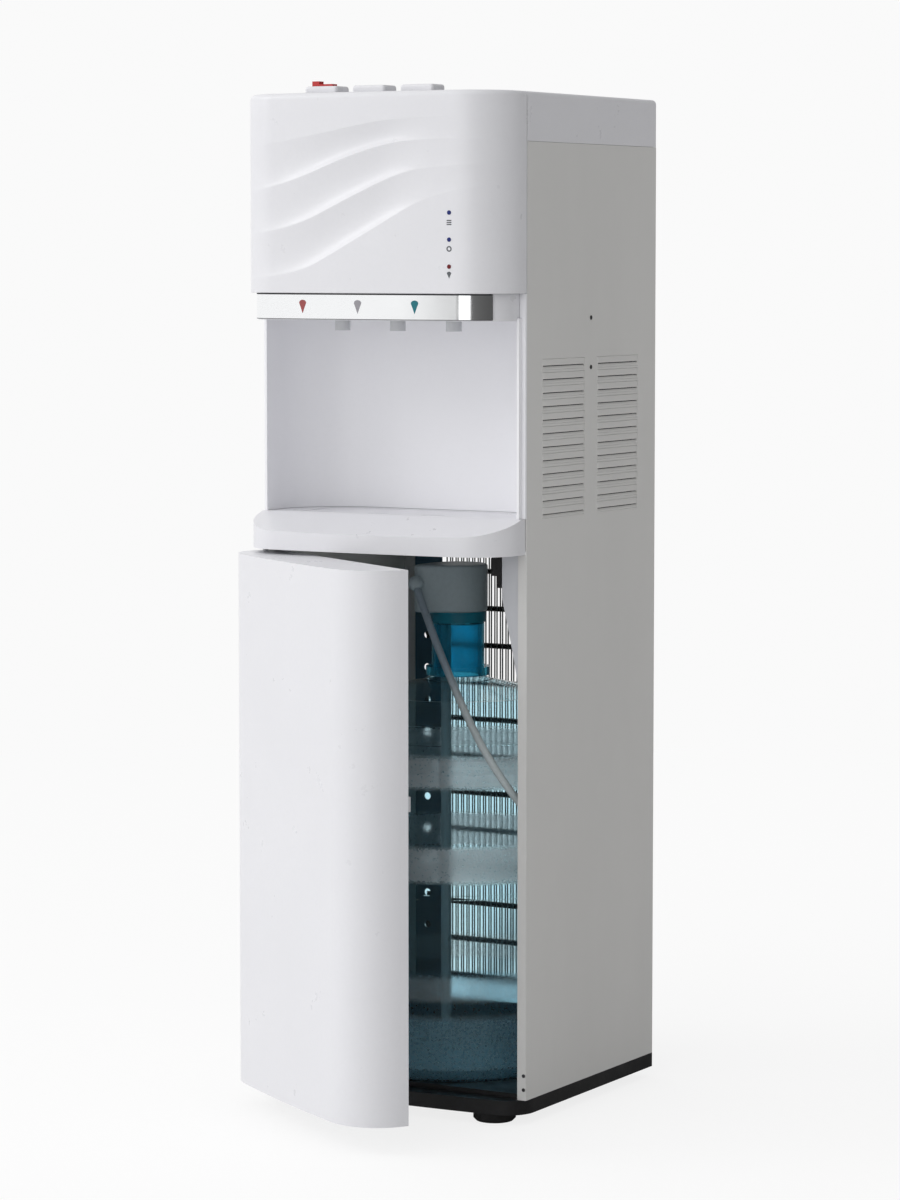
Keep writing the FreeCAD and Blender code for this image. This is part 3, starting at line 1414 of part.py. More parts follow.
def make_bottle():
    spot = standing_at("0", "bottle_back", "floor_top")
    deep = "(bottle_radius - rib_depth)"
    outer = [
        ("bottle_radius - bottle_bevel", "0"), ("bottle_radius", "bottle_bevel"),
        ("bottle_radius", "rib_low"),
        (deep, "rib_low + rib_depth"), (deep, "rib_low + rib_width"),
        ("bottle_radius", "rib_low + rib_width + rib_depth"), ("bottle_radius", "rib_high"),
        (deep, "rib_high + rib_depth"), (deep, "rib_high + rib_width"),
        ("bottle_radius", "rib_high + rib_width + rib_depth"), ("bottle_radius", "shoulder_low"),
        ("bottle_radius*0.93", "(shoulder_low*2 + shoulder_high)/3"),
        ("bottle_radius*0.74", "(shoulder_low + shoulder_high*3)/4"),
        ("neck_radius + neck_root", "shoulder_high"),
        ("neck_radius", "shoulder_high + neck_flare"), ("neck_radius", "neck_top"),
    ]
    inner = [(f"({across}) - bottle_wall", up) for across, up in reversed(outer)]
    inner[-1] = (inner[-1][0], "bottle_wall")
    inner[-2] = (inner[-2][0], "bottle_bevel + bottle_wall/2")
    keep("bottle", turned("bottle_shell", [("0", "0")] + outer + inner + [("0", "bottle_wall")]), spot)
    inside = "(neck_radius + seat_gap)"
    outside = f"({inside} + cap_wall)"
    cap = turned("cap", [(inside, "cap_bottom"), ("cap_ring_radius", "cap_bottom"),
                         ("cap_ring_radius", "cap_bottom + cap_ring_height"),
                         (outside, "cap_bottom + cap_ring_height"), (outside, "neck_top + cap_wall"),
                         ("0", "neck_top + cap_wall"), ("0", "neck_top + seat_gap/2"),
                         (inside, "neck_top + seat_gap/2")])
    cap.Placement = spot
    keep("bottle_cap", cut("cap_cut", cap, probe_way("cap_way")))


def probe_way(name):
    """The hole that the probe's tube goes down through, in front of the bottle's middle and to its left."""
    return cylinder(name, "probe_radius + seat_gap",
                    ("-probe_left", "bottle_back - probe_forward", "floor_top + cap_bottom"),
                    "head_bottom - floor_top - cap_bottom + seat_gap")


def snout_outline(drawn):
    """A large round and a small one, joined by the two lines that touch both."""
    big, small, left, forward = (value(name) for name in (
        "head_radius", "snout_radius", "snout_left", "snout_forward"))
    toward = math.degrees(math.atan2(-forward, -left))
    swing = math.degrees(math.asin((big - small) / math.hypot(left, forward)))
    tip = Vector(-left, -forward, 0)
    big_arc = drawn.addGeometry(arc(Vector(), big, toward + 90 - swing, toward + 270 + swing))
    small_arc = drawn.addGeometry(arc(tip, small, toward - 90 + swing, toward + 90 - swing))
    ends = []
    for turn in (90 - swing, swing - 90):
        touch = Rotation(Vector(0, 0, 1), toward + turn).multVec(Vector(1, 0, 0))
        ends.append(drawn.addGeometry(Part.LineSegment(touch * big, tip + touch * small)))
    left_line, right_line = ends
    drawn.addConstraint([
        Sketcher.Constraint("Coincident", big_arc, 3, -1, 1),
        Sketcher.Constraint("Tangent", big_arc, 1, left_line, 1),
        Sketcher.Constraint("Tangent", left_line, 2, small_arc, 2),
        Sketcher.Constraint("Tangent", small_arc, 1, right_line, 2),
        Sketcher.Constraint("Tangent", right_line, 1, big_arc, 2),
    ])
    measured = [
        ("Radius", (big_arc,), big, "head_radius"),
        ("Radius", (small_arc,), small, "snout_radius"),
        ("DistanceX", (small_arc, 3, -1, 1), left, "snout_left"),
        ("DistanceY", (small_arc, 3, -1, 1), forward, "snout_forward"),
    ]
    for kind, places, number, formula in measured:
        index = drawn.addConstraint(Sketcher.Constraint(kind, *places, number))
        bind(drawn, f"Constraints[{index}]", formula)


def make_probe():
    spot = standing_at("0", "bottle_back", "0")
    collar = turned("collar", [("0", "collar_bottom"), ("collar_radius", "collar_bottom"),
                               ("collar_radius", "head_bottom"), ("0", "head_bottom")])
    collar.Placement = spot
    keep("probe_collar", cut("collar_cut", collar, probe_way("collar_way")))
    stem = turned("stem", [("probe_bore", "floor_top + probe_clearance"),
                           ("probe_radius", "floor_top + probe_clearance"),
                           ("probe_radius", "head_bottom - seat_gap"),
                           ("probe_bore", "head_bottom - seat_gap")])
    keep("probe_tube", stem, standing_at("-probe_left", "bottle_back - probe_forward", "0"))
    dome = new_body("dome")
    plan = sketch_on(dome, offset="head_bottom")
    snout_outline(plan)
    pad(dome, plan, "head_height")
    ends = (value("head_bottom"), value("head_top"))

    def is_end(edge):
        box_ = edge.BoundBox
        return any(max(abs(box_.ZMin - level), abs(box_.ZMax - level)) < SAME_LEVEL for level in ends)
    round_edges(dome, "head_bevel", is_end)
    ball = doc.addObject("Part::Sphere", "elbow_ball")
    bind(ball, "Radius", "elbow_radius")
    for axis, place in zip("xyz", hose_start):
        bind(ball, f"Placement.Base.{axis}", place)
    neck = cylinder("elbow_neck", "elbow_radius - elbow_wall", hose_start, "elbow_neck", "y")
    dome.Placement = spot
    keep("probe_head", fuse("head_fused", dome, ball, neck))


hose_start = ("-elbow_left", "bottle_back - elbow_forward", "head_bottom + elbow_rise")


def make_probe_hose():
    """The hose from the probe's elbow, past the bottle's front, along the side panel and down to the pump."""
    start = Vector(*(value(place) for place in hose_start))
    points = [
        Vector(6, 63, 500),
        Vector(38, 41, 461),
        Vector(69, 22, 422),
        Vector(101, 8, 382),
        Vector(130, 9, 343),
        Vector(146, 38, 307),
        Vector(147, 84, 272),
        Vector(147, 134, 236),
        Vector(146, 182, 200),
        Vector(138, 222, 164),
        Vector(121, 248, 133),
    ]
    end = Vector(value("pump_across - pump_inlet_left"), value("pump_back"),
                 value("floor_top + pump_height + hose_radius/4"))
    toward = (points[0] - start).normalize()
    first = start + toward * value("elbow_radius + seat_gap/2")
    shape, length, radii = tube([first] + points + [end], value("hose_radius"))
    print(f"probe hose: length {length:.1f} mm, radii", " ".join(f"{radius:.0f}" for radius in radii))
    print(f"probe hose: volume {shape.Volume:.0f}, section times length "
          f"{math.pi * value('hose_radius') ** 2 * length:.0f}")
    keep("probe_hose", free_shape("probe_hose_route", shape))


make_base_tray()
make_feet()
make_side_panel("side_panel_left", LEFT)
make_side_panel("side_panel_right", RIGHT)
make_side_screws()
make_rear_panel()
make_rear_rails()
make_condenser_tube()
make_condenser_wires()
make_condenser_clips()
make_back_fittings()
make_deck("compressor_deck", "deck_bottom")
make_deck("tank_shelf", "shelf_bottom")
make_compressor()
make_cold_tank()
make_hot_tank()
make_pump()
make_water_hoses()
make_control_box()
make_fascia()
make_lights()
make_top_cover()
make_alcove_panel()
make_hood()
make_trim()
for tap, button, place in (("tap_hot", "button_hot", LEFT), ("tap_ambient", "button_ambient", "0"),
                           ("tap_cold", "button_cold", RIGHT)):
    make_tap(tap, place)
    make_button(button, place)
make_child_lock()
make_ledge()
make_drip_tray()
make_grille()
make_door()
make_hinge_brackets()
make_opening_fittings()
make_bottle()
make_probe()
make_probe_hose()

doc.recompute()

# Put the origin under the middle of the whole, with the door ajar
whole = FreeCAD.BoundBox()
for piece, at in pieces.values():
    placed = piece.Shape.copy()
    placed.Placement = at.multiply(placed.Placement)
    whole.add(placed.optimalBoundingBox(False))
origin = Vector(whole.Center.x, whole.Center.y, 0)
for piece, at in pieces.values():
    piece.Placement = Placement(-origin, Rotation()).multiply(at).multiply(piece.Placement)
doc.recompute()
print(f"origin in the cabinet's frame: {origin.x:.3f} {origin.y:.3f}")
print(f"whole: {whole.XLength:.1f} by {whole.YLength:.1f} by {whole.ZLength:.1f}, from z {whole.ZMin:.3f}")

# Nothing is written unless every step of the model worked
for thing in doc.Objects:
    if "Invalid" in thing.State or "Error" in thing.State:
        raise RuntimeError(f"{thing.Name} ({thing.Label}) failed: {thing.State}")
    if thing.TypeId == "PartDesign::Pocket" and thing.BaseFeature:
        removed = thing.BaseFeature.Shape.Volume - thing.Shape.Volume
        if removed <= 0:
            raise RuntimeError(f"{thing.Name} cuts nothing")
for node, (piece, at) in pieces.items():
    if piece.Shape.isNull() or not piece.Shape.isValid() or piece.Shape.Volume <= 0:
        raise RuntimeError(f"{node} has no sound shape")

os.makedirs("parts", exist_ok=True)
for node, (piece, at) in pieces.items():
    piece.Shape.exportStep(f"parts/{node}.step")
print(f"{len(pieces)} nodes written")
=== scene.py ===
"""Looks of the bottom load water cooler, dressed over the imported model."""
import json
import math

import bmesh
import bpy
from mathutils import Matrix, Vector
from mathutils.bvhtree import BVHTree


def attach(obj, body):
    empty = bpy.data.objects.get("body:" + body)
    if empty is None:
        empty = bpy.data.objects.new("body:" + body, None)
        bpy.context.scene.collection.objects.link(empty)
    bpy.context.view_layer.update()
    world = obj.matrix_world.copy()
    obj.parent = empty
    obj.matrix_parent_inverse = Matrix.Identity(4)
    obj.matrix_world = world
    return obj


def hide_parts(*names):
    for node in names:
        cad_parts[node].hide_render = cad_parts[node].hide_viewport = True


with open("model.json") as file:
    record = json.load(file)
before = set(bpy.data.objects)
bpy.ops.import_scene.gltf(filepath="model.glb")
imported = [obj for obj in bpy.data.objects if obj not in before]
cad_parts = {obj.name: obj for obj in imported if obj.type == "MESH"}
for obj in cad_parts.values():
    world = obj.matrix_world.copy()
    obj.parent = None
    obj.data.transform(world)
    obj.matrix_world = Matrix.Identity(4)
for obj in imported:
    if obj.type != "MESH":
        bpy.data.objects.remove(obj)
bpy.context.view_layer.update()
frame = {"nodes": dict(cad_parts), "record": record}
nodes = frame["nodes"]
MM = 0.001
# The cabinet's own middle and panel front in the row frame, in millimetres
MIDDLE_X, PANEL_FRONT = 0.462, -49.843


# Camera, at the photograph's viewing angle

camera_data = bpy.data.cameras.new("camera")
camera_data.sensor_width = 36
camera_data.lens = 119.7
camera = bpy.data.objects.new("camera", camera_data)
bpy.context.scene.collection.objects.link(camera)
camera.location = (2.0737, -3.5761, 0.8906)
camera.rotation_euler = (math.radians(85), 0, math.radians(29.65))
bpy.context.scene.camera = camera


def link(obj):
    bpy.context.scene.collection.objects.link(obj)
    return obj


# The probe's hose, on the same points as its route in the model

HOSE_POINTS = [
    (-19.209, 31.983, 536.368), (6.462, 13.157, 500), (38.462, -8.843, 461), (69.462, -27.843, 422),
    (101.462, -41.843, 382), (130.462, -40.843, 343), (146.462, -11.843, 307), (147.462, 34.157, 272),
    (147.462, 84.157, 236), (146.462, 132.157, 200), (138.462, 172.157, 164), (121.462, 198.157, 133),
    (118.462, 202.157, 102),
]
HOSE_DIAMETER = 0.008

hose_curve = bpy.data.curves.new("probe_line", "CURVE")
hose_curve.dimensions = "3D"
hose_spline = hose_curve.splines.new("NURBS")
hose_spline.points.add(len(HOSE_POINTS) - 1)
for point, place in zip(hose_spline.points, HOSE_POINTS):
    point.co = (*(Vector(place) * MM), 1)
    point.radius = HOSE_DIAMETER / 2
hose_spline.order_u = 3
hose_spline.use_endpoint_u = True
hose_spline.resolution_u = 12
hose_curve.bevel_depth = 1.0
hose_curve.bevel_resolution = 6
hose_curve.use_fill_caps = True
hose = link(bpy.data.objects.new("probe_line", hose_curve))
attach(hose, "cabinet")
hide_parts("probe_hose")


# Materials

class Nodes:
    """A node tree with short calls for the nodes that give a surface its detail."""

    def __init__(self, tree, place):
        self.tree = tree
        self.place = tree.nodes.new("ShaderNodeTexCoord").outputs[place]

    def node(self, kind, sources=(), **settings):
        made = self.tree.nodes.new(kind)
        for name, number in settings.items():
            setattr(made, name, number)
        for socket, source in dict(sources).items():
            if isinstance(source, bpy.types.NodeSocket):
                self.tree.links.new(source, made.inputs[socket])
            else:
                made.inputs[socket].default_value = source
        return made

    def noise(self, scale, detail, rough=0.55, stretch=None):
        vector = self.place
        if stretch:
            vector = self.node("ShaderNodeMapping", {"Vector": vector, "Scale": stretch}).outputs["Vector"]
        return self.node("ShaderNodeTexNoise", {
            "Vector": vector, "Scale": scale, "Detail": detail, "Roughness": rough}).outputs["Fac"]

    def cells(self, scale):
        return self.node("ShaderNodeTexVoronoi", {"Vector": self.place, "Scale": scale}).outputs["Distance"]

    def along(self, axis):
        return self.node("ShaderNodeSeparateXYZ", {"Vector": self.place}).outputs[axis]

    def ramp(self, source, stops):
        ramp = self.node("ShaderNodeValToRGB", {"Fac": source})
        elements = ramp.color_ramp.elements
        while len(elements) < len(stops):
            elements.new(0.5)
        for element, (place, colour) in zip(elements, stops):
            element.position = place
            element.color = (*colour, 1) if isinstance(colour, tuple) else (colour, colour, colour, 1)
        return ramp.outputs["Color"]

    def bands(self, source, low, high, levels):
        """A ramp over a range of lengths: levels are (length, colour) pairs."""
        share = self.math("DIVIDE", self.math("SUBTRACT", source, low), high - low)
        return self.ramp(share, [((length - low) / (high - low), colour) for length, colour in levels])

    def math(self, operation, *sources):
        made = self.tree.nodes.new("ShaderNodeMath")
        made.operation = operation
        for index, source in enumerate(sources):
            if isinstance(source, bpy.types.NodeSocket):
                self.tree.links.new(source, made.inputs[index])
            else:
                made.inputs[index].default_value = source
        return made.outputs[0]

    def mix(self, factor, first, second):
        made = self.tree.nodes.new("ShaderNodeMix")
        made.data_type = "RGBA"
        for index, source in ((0, factor), (6, first), (7, second)):
            if isinstance(source, bpy.types.NodeSocket):
                self.tree.links.new(source, made.inputs[index])
            elif index == 0:
                made.inputs[index].default_value = source
            else:
                made.inputs[index].default_value = (*source, 1)
        return made.outputs[2]


class Shader(Nodes):
    """A Principled material."""

    def __init__(self, name, **settings):
        self.material = bpy.data.materials.new(name)
        self.material.use_nodes = True
        super().__init__(self.material.node_tree, "Object")
        self.bsdf = self.tree.nodes["Principled BSDF"]
        for socket, number in settings.items():
            self.bsdf.inputs[socket.replace("_", " ")].default_value = number
        self.relief = None

    def link(self, source, socket):
        self.tree.links.new(source, self.bsdf.inputs[socket])

    def bump(self, height, distance, strength=1.0):
        settings = {"Height": height, "Distance": distance, "Strength": strength}
        if self.relief:
            settings["Normal"] = self.relief
        self.relief = self.node("ShaderNodeBump", settings).outputs["Normal"]
        self.link(self.relief, "Normal")


def darker(colour, share):
    return tuple(channel * share for channel in colour)


def moulded(name, colour, rough=0.32, grain=900.0, depth=0.00001, tint=0.025):
    """Injection-moulded plastic: fine spark texture, faint cloudiness and finger-dulled gloss."""
    shade = Shader(name, Roughness=rough, IOR=1.5)
    cloud = shade.ramp(shade.noise(7, 4), [(0.35, darker(colour, 1 - tint)), (0.65, colour)])
    dust = shade.ramp(shade.noise(240, 2, 0.5), [(0.40, 0.0), (0.75, 0.5)])
    shade.link(shade.mix(dust, cloud, darker(colour, 1 - 1.5 * tint)), "Base Color")
    gloss = shade.ramp(shade.noise(34, 5, 0.65), [(0.3, rough * 0.82), (0.7, rough * 1.2)])
    shade.link(gloss, "Roughness")
    shade.bump(shade.cells(grain), depth)
    shade.bump(shade.noise(11, 2), 0.0003, 0.12)
    return shade.material


def painted(name, colour, rough=0.42, tint=0.04):
    """Powder-coated sheet steel: orange peel, faint rolling lines and rubbed patches."""
    shade = Shader(name, Roughness=rough, IOR=1.5)
    cloud = shade.noise(5, 4, 0.6, (1, 1, 0.35))
    sheet = shade.ramp(cloud, [(0.35, darker(colour, 1 - tint)), (0.65, colour)])
    speck = shade.ramp(shade.noise(420, 2, 0.75), [(0.69, 0.0), (0.80, 1.0)])
    shade.link(shade.mix(speck, sheet, darker(colour, 1 - 2 * tint)), "Base Color")
    shade.link(shade.ramp(shade.noise(26, 5), [(0.3, rough * 0.85), (0.7, rough * 1.18)]), "Roughness")
    shade.bump(shade.noise(620, 2, 0.5), 0.00006)
    shade.bump(shade.noise(9, 2, 0.5, (1, 1, 0.4)), 0.0008, 0.2)
    return shade.material


def metal(name, colour, rough, drawn=(1, 1, 30), depth=0.00002, spots=None, fade=0.8):
    """Bare or plated metal: drawing lines along the sheet, and dull spots."""
    shade = Shader(name, Roughness=rough, Metallic=1.0)
    lines = shade.noise(260, 4, 0.6, drawn)
    surface = shade.ramp(lines, [(0.3, darker(colour, fade)), (0.7, colour)])
    if spots:
        surface = shade.mix(shade.ramp(shade.noise(45, 4, 0.7), [(0.5, 0.0), (0.7, 1.0)]), surface, spots)
    shade.link(surface, "Base Color")
    shade.link(shade.ramp(shade.noise(30, 4), [(0.3, rough * 0.75), (0.7, rough * 1.35)]), "Roughness")
    shade.bump(lines, depth)
    return shade.material


def enamel(name, colour, rough=0.35):
    """Dipped black paint on wire and tube: small runs and rubbed-through specks."""
    shade = Shader(name, Roughness=rough, IOR=1.5)
    worn = tuple(min(1, channel * 3 + 0.05) for channel in colour)
    coat = shade.ramp(shade.noise(60, 4), [(0.35, darker(colour, 0.75)), (0.7, colour)])
    specks = shade.ramp(shade.noise(330, 3, 0.7), [(0.72, 0.0), (0.80, 1.0)])
    shade.link(shade.mix(specks, coat, worn), "Base Color")
    shade.link(shade.ramp(shade.noise(80, 3), [(0.3, rough * 0.8), (0.7, rough * 1.3)]), "Roughness")
    shade.bump(shade.noise(240, 3), 0.00012)
    return shade.material


def rubber(name, colour):
    """Moulded rubber: a dull, finely pitted skin."""
    shade = Shader(name, Roughness=0.75, IOR=1.45)
    shade.link(shade.ramp(shade.noise(90, 4), [(0.3, darker(colour, 0.7)), (0.7, colour)]), "Base Color")
    shade.bump(shade.noise(900, 3, 0.7), 0.00015)
    return shade.material


def foamed(name, colour):
    """Cast insulation: open cells and soft mottling."""
    shade = Shader(name, Roughness=0.9)
    shade.link(shade.ramp(shade.noise(20, 5), [(0.3, darker(colour, 0.85)), (0.7, colour)]), "Base Color")
    shade.bump(shade.cells(420), 0.0006)
    return shade.material


# How dull the bottle is at each height, as (height in metres, share) pairs: its foot, a rib and two etched
# bands
BOTTLE_LOW, BOTTLE_HIGH = 0.05, 0.40
FOOT_TOP, FOOT_END = 0.100, 0.112
ETCHED = [
    (0.062, 0.85), (0.096, 0.70), (0.104, 0.0), (0.114, 0.0), (0.120, 0.5), (0.138, 0.5), (0.146, 0.0),
    (0.238, 0.0), (0.244, 1.0), (0.274, 1.0), (0.280, 0.0), (0.336, 0.0), (0.342, 1.0), (0.368, 1.0),
    (0.375, 0.0),
]


def clear_blue(name):
    """Tinted polycarbonate of the bottle: flow marks, etched bands with a hammered grain, and a dull foot."""
    shade = Shader(name, IOR=1.13)
    flow = shade.noise(14, 3, 0.6, (1, 1, 0.3))
    etched = shade.bands(shade.along("Z"), BOTTLE_LOW, BOTTLE_HIGH, ETCHED)
    speck = shade.ramp(shade.noise(330, 2, 0.5), [(0.35, 0.58), (0.62, 1.0)])
    frost = shade.math("MULTIPLY", etched, speck)
    tint = shade.ramp(flow, [(0.3, (0.72, 0.935, 1.0)), (0.7, (0.80, 0.965, 1.0))])
    foot = shade.bands(shade.along("Z"), BOTTLE_LOW, BOTTLE_HIGH, [(FOOT_TOP, 1.0), (FOOT_END, 0.0)])
    frosted = shade.mix(foot, (0.90, 0.97, 1.0), (0.34, 0.76, 0.97))
    shade.link(shade.mix(frost, tint, frosted), "Base Color")
    shade.link(shade.ramp(frost, [(0.0, 0.985), (1.0, 0.74)]), "Transmission Weight")
    shade.link(shade.ramp(frost, [(0.0, 0.05), (1.0, 0.42)]), "Roughness")
    shade.bump(shade.noise(26, 2, 0.5, (1, 1, 0.3)), 0.0004, 0.35)
    shade.bump(shade.math("MULTIPLY", etched, shade.noise(430, 3, 0.6)), 0.0005, 0.7)
    return shade.material


def clear_moulding(name, colour, clear, dull=0.15):
    """Clear or milky moulding, with fine vertical flow lines and a dull spot here and there."""
    shade = Shader(name, IOR=1.2)
    lines = shade.noise(160, 3, 0.6, (1, 1, 0.08))
    shade.link(shade.ramp(lines, [(0.35, darker(colour, 0.85)), (0.65, colour)]), "Base Color")
    clarity = shade.ramp(shade.noise(40, 3), [(0.3, clear - 0.06), (0.7, clear + 0.06)])
    shade.link(clarity, "Transmission Weight")
    shade.link(shade.ramp(shade.noise(90, 3), [(0.3, dull * 0.7), (0.7, dull * 1.4)]), "Roughness")
    shade.bump(lines, 0.0003, 0.6)
    return shade.material


materials = {
    "white_plastic": moulded("white_moulding", (0.78, 0.78, 0.81), tint=0.02),
    "white_steel": painted("powder_coat", (0.72, 0.715, 0.70)),
    "black_plastic": moulded("black_moulding", (0.013, 0.013, 0.014), 0.5, 900, 0.00008, 0.25),
    "black_rubber": rubber("black_rubber", (0.022, 0.022, 0.022)),
    "dark_steel": painted("dark_coat", (0.035, 0.064, 0.086), 0.5, 0.2),
    "black_steel": enamel("black_enamel", (0.018, 0.018, 0.02)),
    "zinc_steel": metal("zinc", (0.62, 0.63, 0.64), 0.38, (1, 30, 1), spots=(0.45, 0.46, 0.48)),
    "stainless": metal("stainless", (0.66, 0.65, 0.63), 0.25),
    "trim_metal": metal("bright_trim", (0.97, 0.98, 0.99), 0.12, (1, 1, 14), 0.000004, fade=0.94),
    "copper": metal("copper", (0.75, 0.37, 0.22), 0.32, (20, 20, 1), spots=(0.36, 0.2, 0.12)),
    "foam": foamed("foam", (0.76, 0.70, 0.52)),
    "grey_plastic": moulded("grey_moulding", (0.20, 0.225, 0.235), 0.38, 900, 0.00006, 0.10),
    "light_grey": moulded("light_grey_moulding", (0.60, 0.61, 0.63), 0.36),
    "red_plastic": moulded("red_moulding", (0.52, 0.03, 0.03), 0.3),
    "teal_plastic": moulded("teal_moulding", (0.004, 0.22, 0.32), 0.34, tint=0.12),
    "blue_cap": clear_moulding("blue_cap", (0.12, 0.74, 1.0), 0.84),
    "bottle_blue": clear_blue("bottle_polycarbonate"),
    "board_green": moulded("board_green", (0.02, 0.14, 0.06), 0.45, 600),
    "hose_grey": moulded("hose_grey", (0.42, 0.47, 0.49), 0.42, 500, 0.0001, 0.08),
}


LOWEST_LENS_TOP = 0.888


def lens_material():
    """Three tinted lenses: two dark blue ones and a dark red one below them."""
    shade = Shader("indicator_lens", Roughness=0.35, IOR=1.4)
    lower = shade.math("LESS_THAN", shade.along("Z"), LOWEST_LENS_TOP)
    mottle = shade.noise(700, 2)
    blue = shade.ramp(mottle, [(0.3, (0.004, 0.010, 0.10)), (0.7, (0.010, 0.025, 0.20))])
    red = shade.ramp(mottle, [(0.3, (0.10, 0.002, 0.004)), (0.7, (0.20, 0.006, 0.010))])
    shade.link(shade.mix(lower, blue, red), "Base Color")
    shade.bump(shade.cells(1500), 0.00005)
    return shade.material


# The hose is light below the second of these heights and grey-blue above the third
HOSE_LOW, HOSE_LIGHT, HOSE_DARK, HOSE_HIGH = 0.40, 0.425, 0.462, 0.50


def hose_material():
    """Grey-blue near the elbow and lighter further down, with fine mottling."""
    shade = Shader("hose_moulding", IOR=1.3, Transmission_Weight=0.12)
    upper = shade.bands(shade.along("Z"), HOSE_LOW, HOSE_HIGH, [(HOSE_LIGHT, 0.0), (HOSE_DARK, 1.0)])
    lines = shade.ramp(shade.noise(300, 3, 0.6), [(0.35, 0.92), (0.65, 1.0)])
    colour = shade.mix(upper, (0.62, 0.69, 0.70), (0.36, 0.45, 0.52))
    tinted = shade.node("ShaderNodeMix", {6: colour, 7: lines}, data_type="RGBA", blend_type="MULTIPLY")
    tinted.inputs[0].default_value = 1.0
    shade.link(tinted.outputs[2], "Base Color")
    shade.link(shade.ramp(shade.noise(60, 3), [(0.3, 0.32), (0.7, 0.45)]), "Roughness")
    shade.bump(shade.noise(500, 2), 0.00005)
    return shade.material


materials["lens_dark"] = lens_material()
for part in frame["record"]["subparts"]:
    mesh = nodes[part["node"]].data
    mesh.materials.clear()
    mesh.materials.append(materials[part["material_slot"]])
hose_curve.materials.append(hose_material())

# Nodes whose finish differs from the rest of their slot
OWN_FINISHES = {
    "corner_gussets": painted("gusset_coat", (0.62, 0.63, 0.66), 0.5, 0.06),
    "condenser_wires": enamel("wire_coat", (0.20, 0.205, 0.19), 0.4),
    "probe_tube": clear_moulding("tube_moulding", (0.72, 0.84, 0.88), 0.22, 0.35),
    "rear_rails": painted("rail_coat", (0.08, 0.18, 0.26), 0.5, 0.15),
    # Painted light: the alcove's moulding is a brighter copy of the white moulding, lifting the shade inside
    # the recess
    "alcove_panel": moulded("alcove_moulding_painted_bright", (0.90, 0.90, 0.93), 0.4, tint=0.015),
    "probe_head": moulded("head_moulding", (0.46, 0.56, 0.60), 0.42, 900, 0.00004, 0.10),
}
for node, material in OWN_FINISHES.items():
    nodes[node].data.materials[0] = material


# The front outline, bowed between two rounded corners

BOW, BULGE, CORNER, CORNER_X, HALF_WIDTH = 1851.33, 68.0, 52.0, 103.0, 155.0
CORNER_Y = (BOW - BULGE) - math.sqrt((BOW - CORNER) ** 2 - CORNER_X ** 2)
FLAT_STEPS = 5


def outline(step):
    """Points and outward directions (x, y, nx, ny), from the left rear end round to the right one."""
    turn = math.asin(CORNER_X / (BOW - CORNER))
    made = []
    for index in range(FLAT_STEPS):
        made.append((-HALF_WIDTH, CORNER_Y * index / FLAT_STEPS, -1.0, 0.0))
    steps = round(CORNER * (math.pi / 2 - turn) / step)
    for index in range(steps):
        angle = math.pi + (math.pi / 2 - turn) * index / steps
        made.append((-CORNER_X + CORNER * math.cos(angle), CORNER_Y + CORNER * math.sin(angle),
                     math.cos(angle), math.sin(angle)))
    steps = 2 * round(BOW * turn / step)
    for index in range(steps // 2 + 1):
        angle = -math.pi / 2 - turn + 2 * turn * index / steps
        nx, ny = math.cos(angle), math.sin(angle)
        made.append((BOW * nx, BOW - BULGE + BOW * ny, nx, ny))
    return made + [(-x, y, -nx, ny) for x, y, nx, ny in reversed(made[:-1])]


def at(x, y, z):
    """A point of the cabinet's millimetres in the row frame, in metres."""
    return Vector((x + MIDDLE_X, y + PANEL_FRONT, z)) * MM


def new_piece(name, build, body, material, smooth=True):
    mesh = bpy.data.meshes.new(name)
    shape = bmesh.new()
    build(shape)
    bmesh.ops.recalc_face_normals(shape, faces=shape.faces)
    shape.to_mesh(mesh)
    shape.free()
    for face in mesh.polygons:
        face.use_smooth = smooth
    piece = link(bpy.data.objects.new(name, mesh))
    mesh.materials.append(material)
    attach(piece, body)
    return piece


def join_rings(shape, rings):
    """Faces between neighbouring rings, with both ends closed."""
    for first, second in zip(rings, rings[1:]):
        for index in range(len(first)):
            after = (index + 1) % len(first)
            shape.faces.new((first[index], first[after], second[after], second[index]))
    shape.faces.new(rings[0])
    shape.faces.new(reversed(rings[-1]))


# Front fascia, with its wave relief

FASCIA_BOTTOM, FASCIA_TOP, TOP_ROUND, WALL, TOP_WALL = 848.0, 1050.0, 6.0, 2.6, 3.0
BUTTON_PLACES, BUTTON_Y, BUTTON_HALF_WIDTH, BUTTON_HALF_DEPTH = (-56.0, 0.0, 56.0), -38.0, 19.5, 13.5
FLUTE_DEPTH = 4.4
# The waves' edges from the lowest to the highest, as (x, z) points of the cabinet in millimetres
WAVES = [
    [(-170, 862), (-122, 863), (-95, 866), (-62, 873.5), (-33, 888), (-6, 902), (22, 916.5), (48, 930.5),
     (69, 940.5), (97, 948.5), (128, 954), (170, 958)],
    [(-170, 905), (-125, 908.5), (-95, 912.5), (-62, 922), (-33, 935), (-6, 947), (22, 959), (50, 969),
     (74, 973), (108, 975.5), (136, 976.5), (170, 977)],
    [(-170, 949), (-125, 952), (-95, 958), (-62, 968), (-33, 979), (-6, 988), (22, 995.5), (46, 999.5),
     (74, 1001.5), (118, 1002), (170, 1002)],
    [(-170, 990), (-107, 999.5), (-45, 1009), (-6, 1016), (27, 1021), (62, 1023), (97, 1024), (170, 1024)],
]
WAVE_ROUNDING = (-12, -6, 0, 6, 12)
# Where the waves rise on the left and fade on the right: from x, over a width, and by a share
RISE_FROM, RISE_OVER = -158, 120
FADE_FROM, FADE_OVER, FADE_SHARE = 12, 72, 0.88
# Where they end round the corners: from y, over a depth
END_FROM, END_OVER = -30, 22
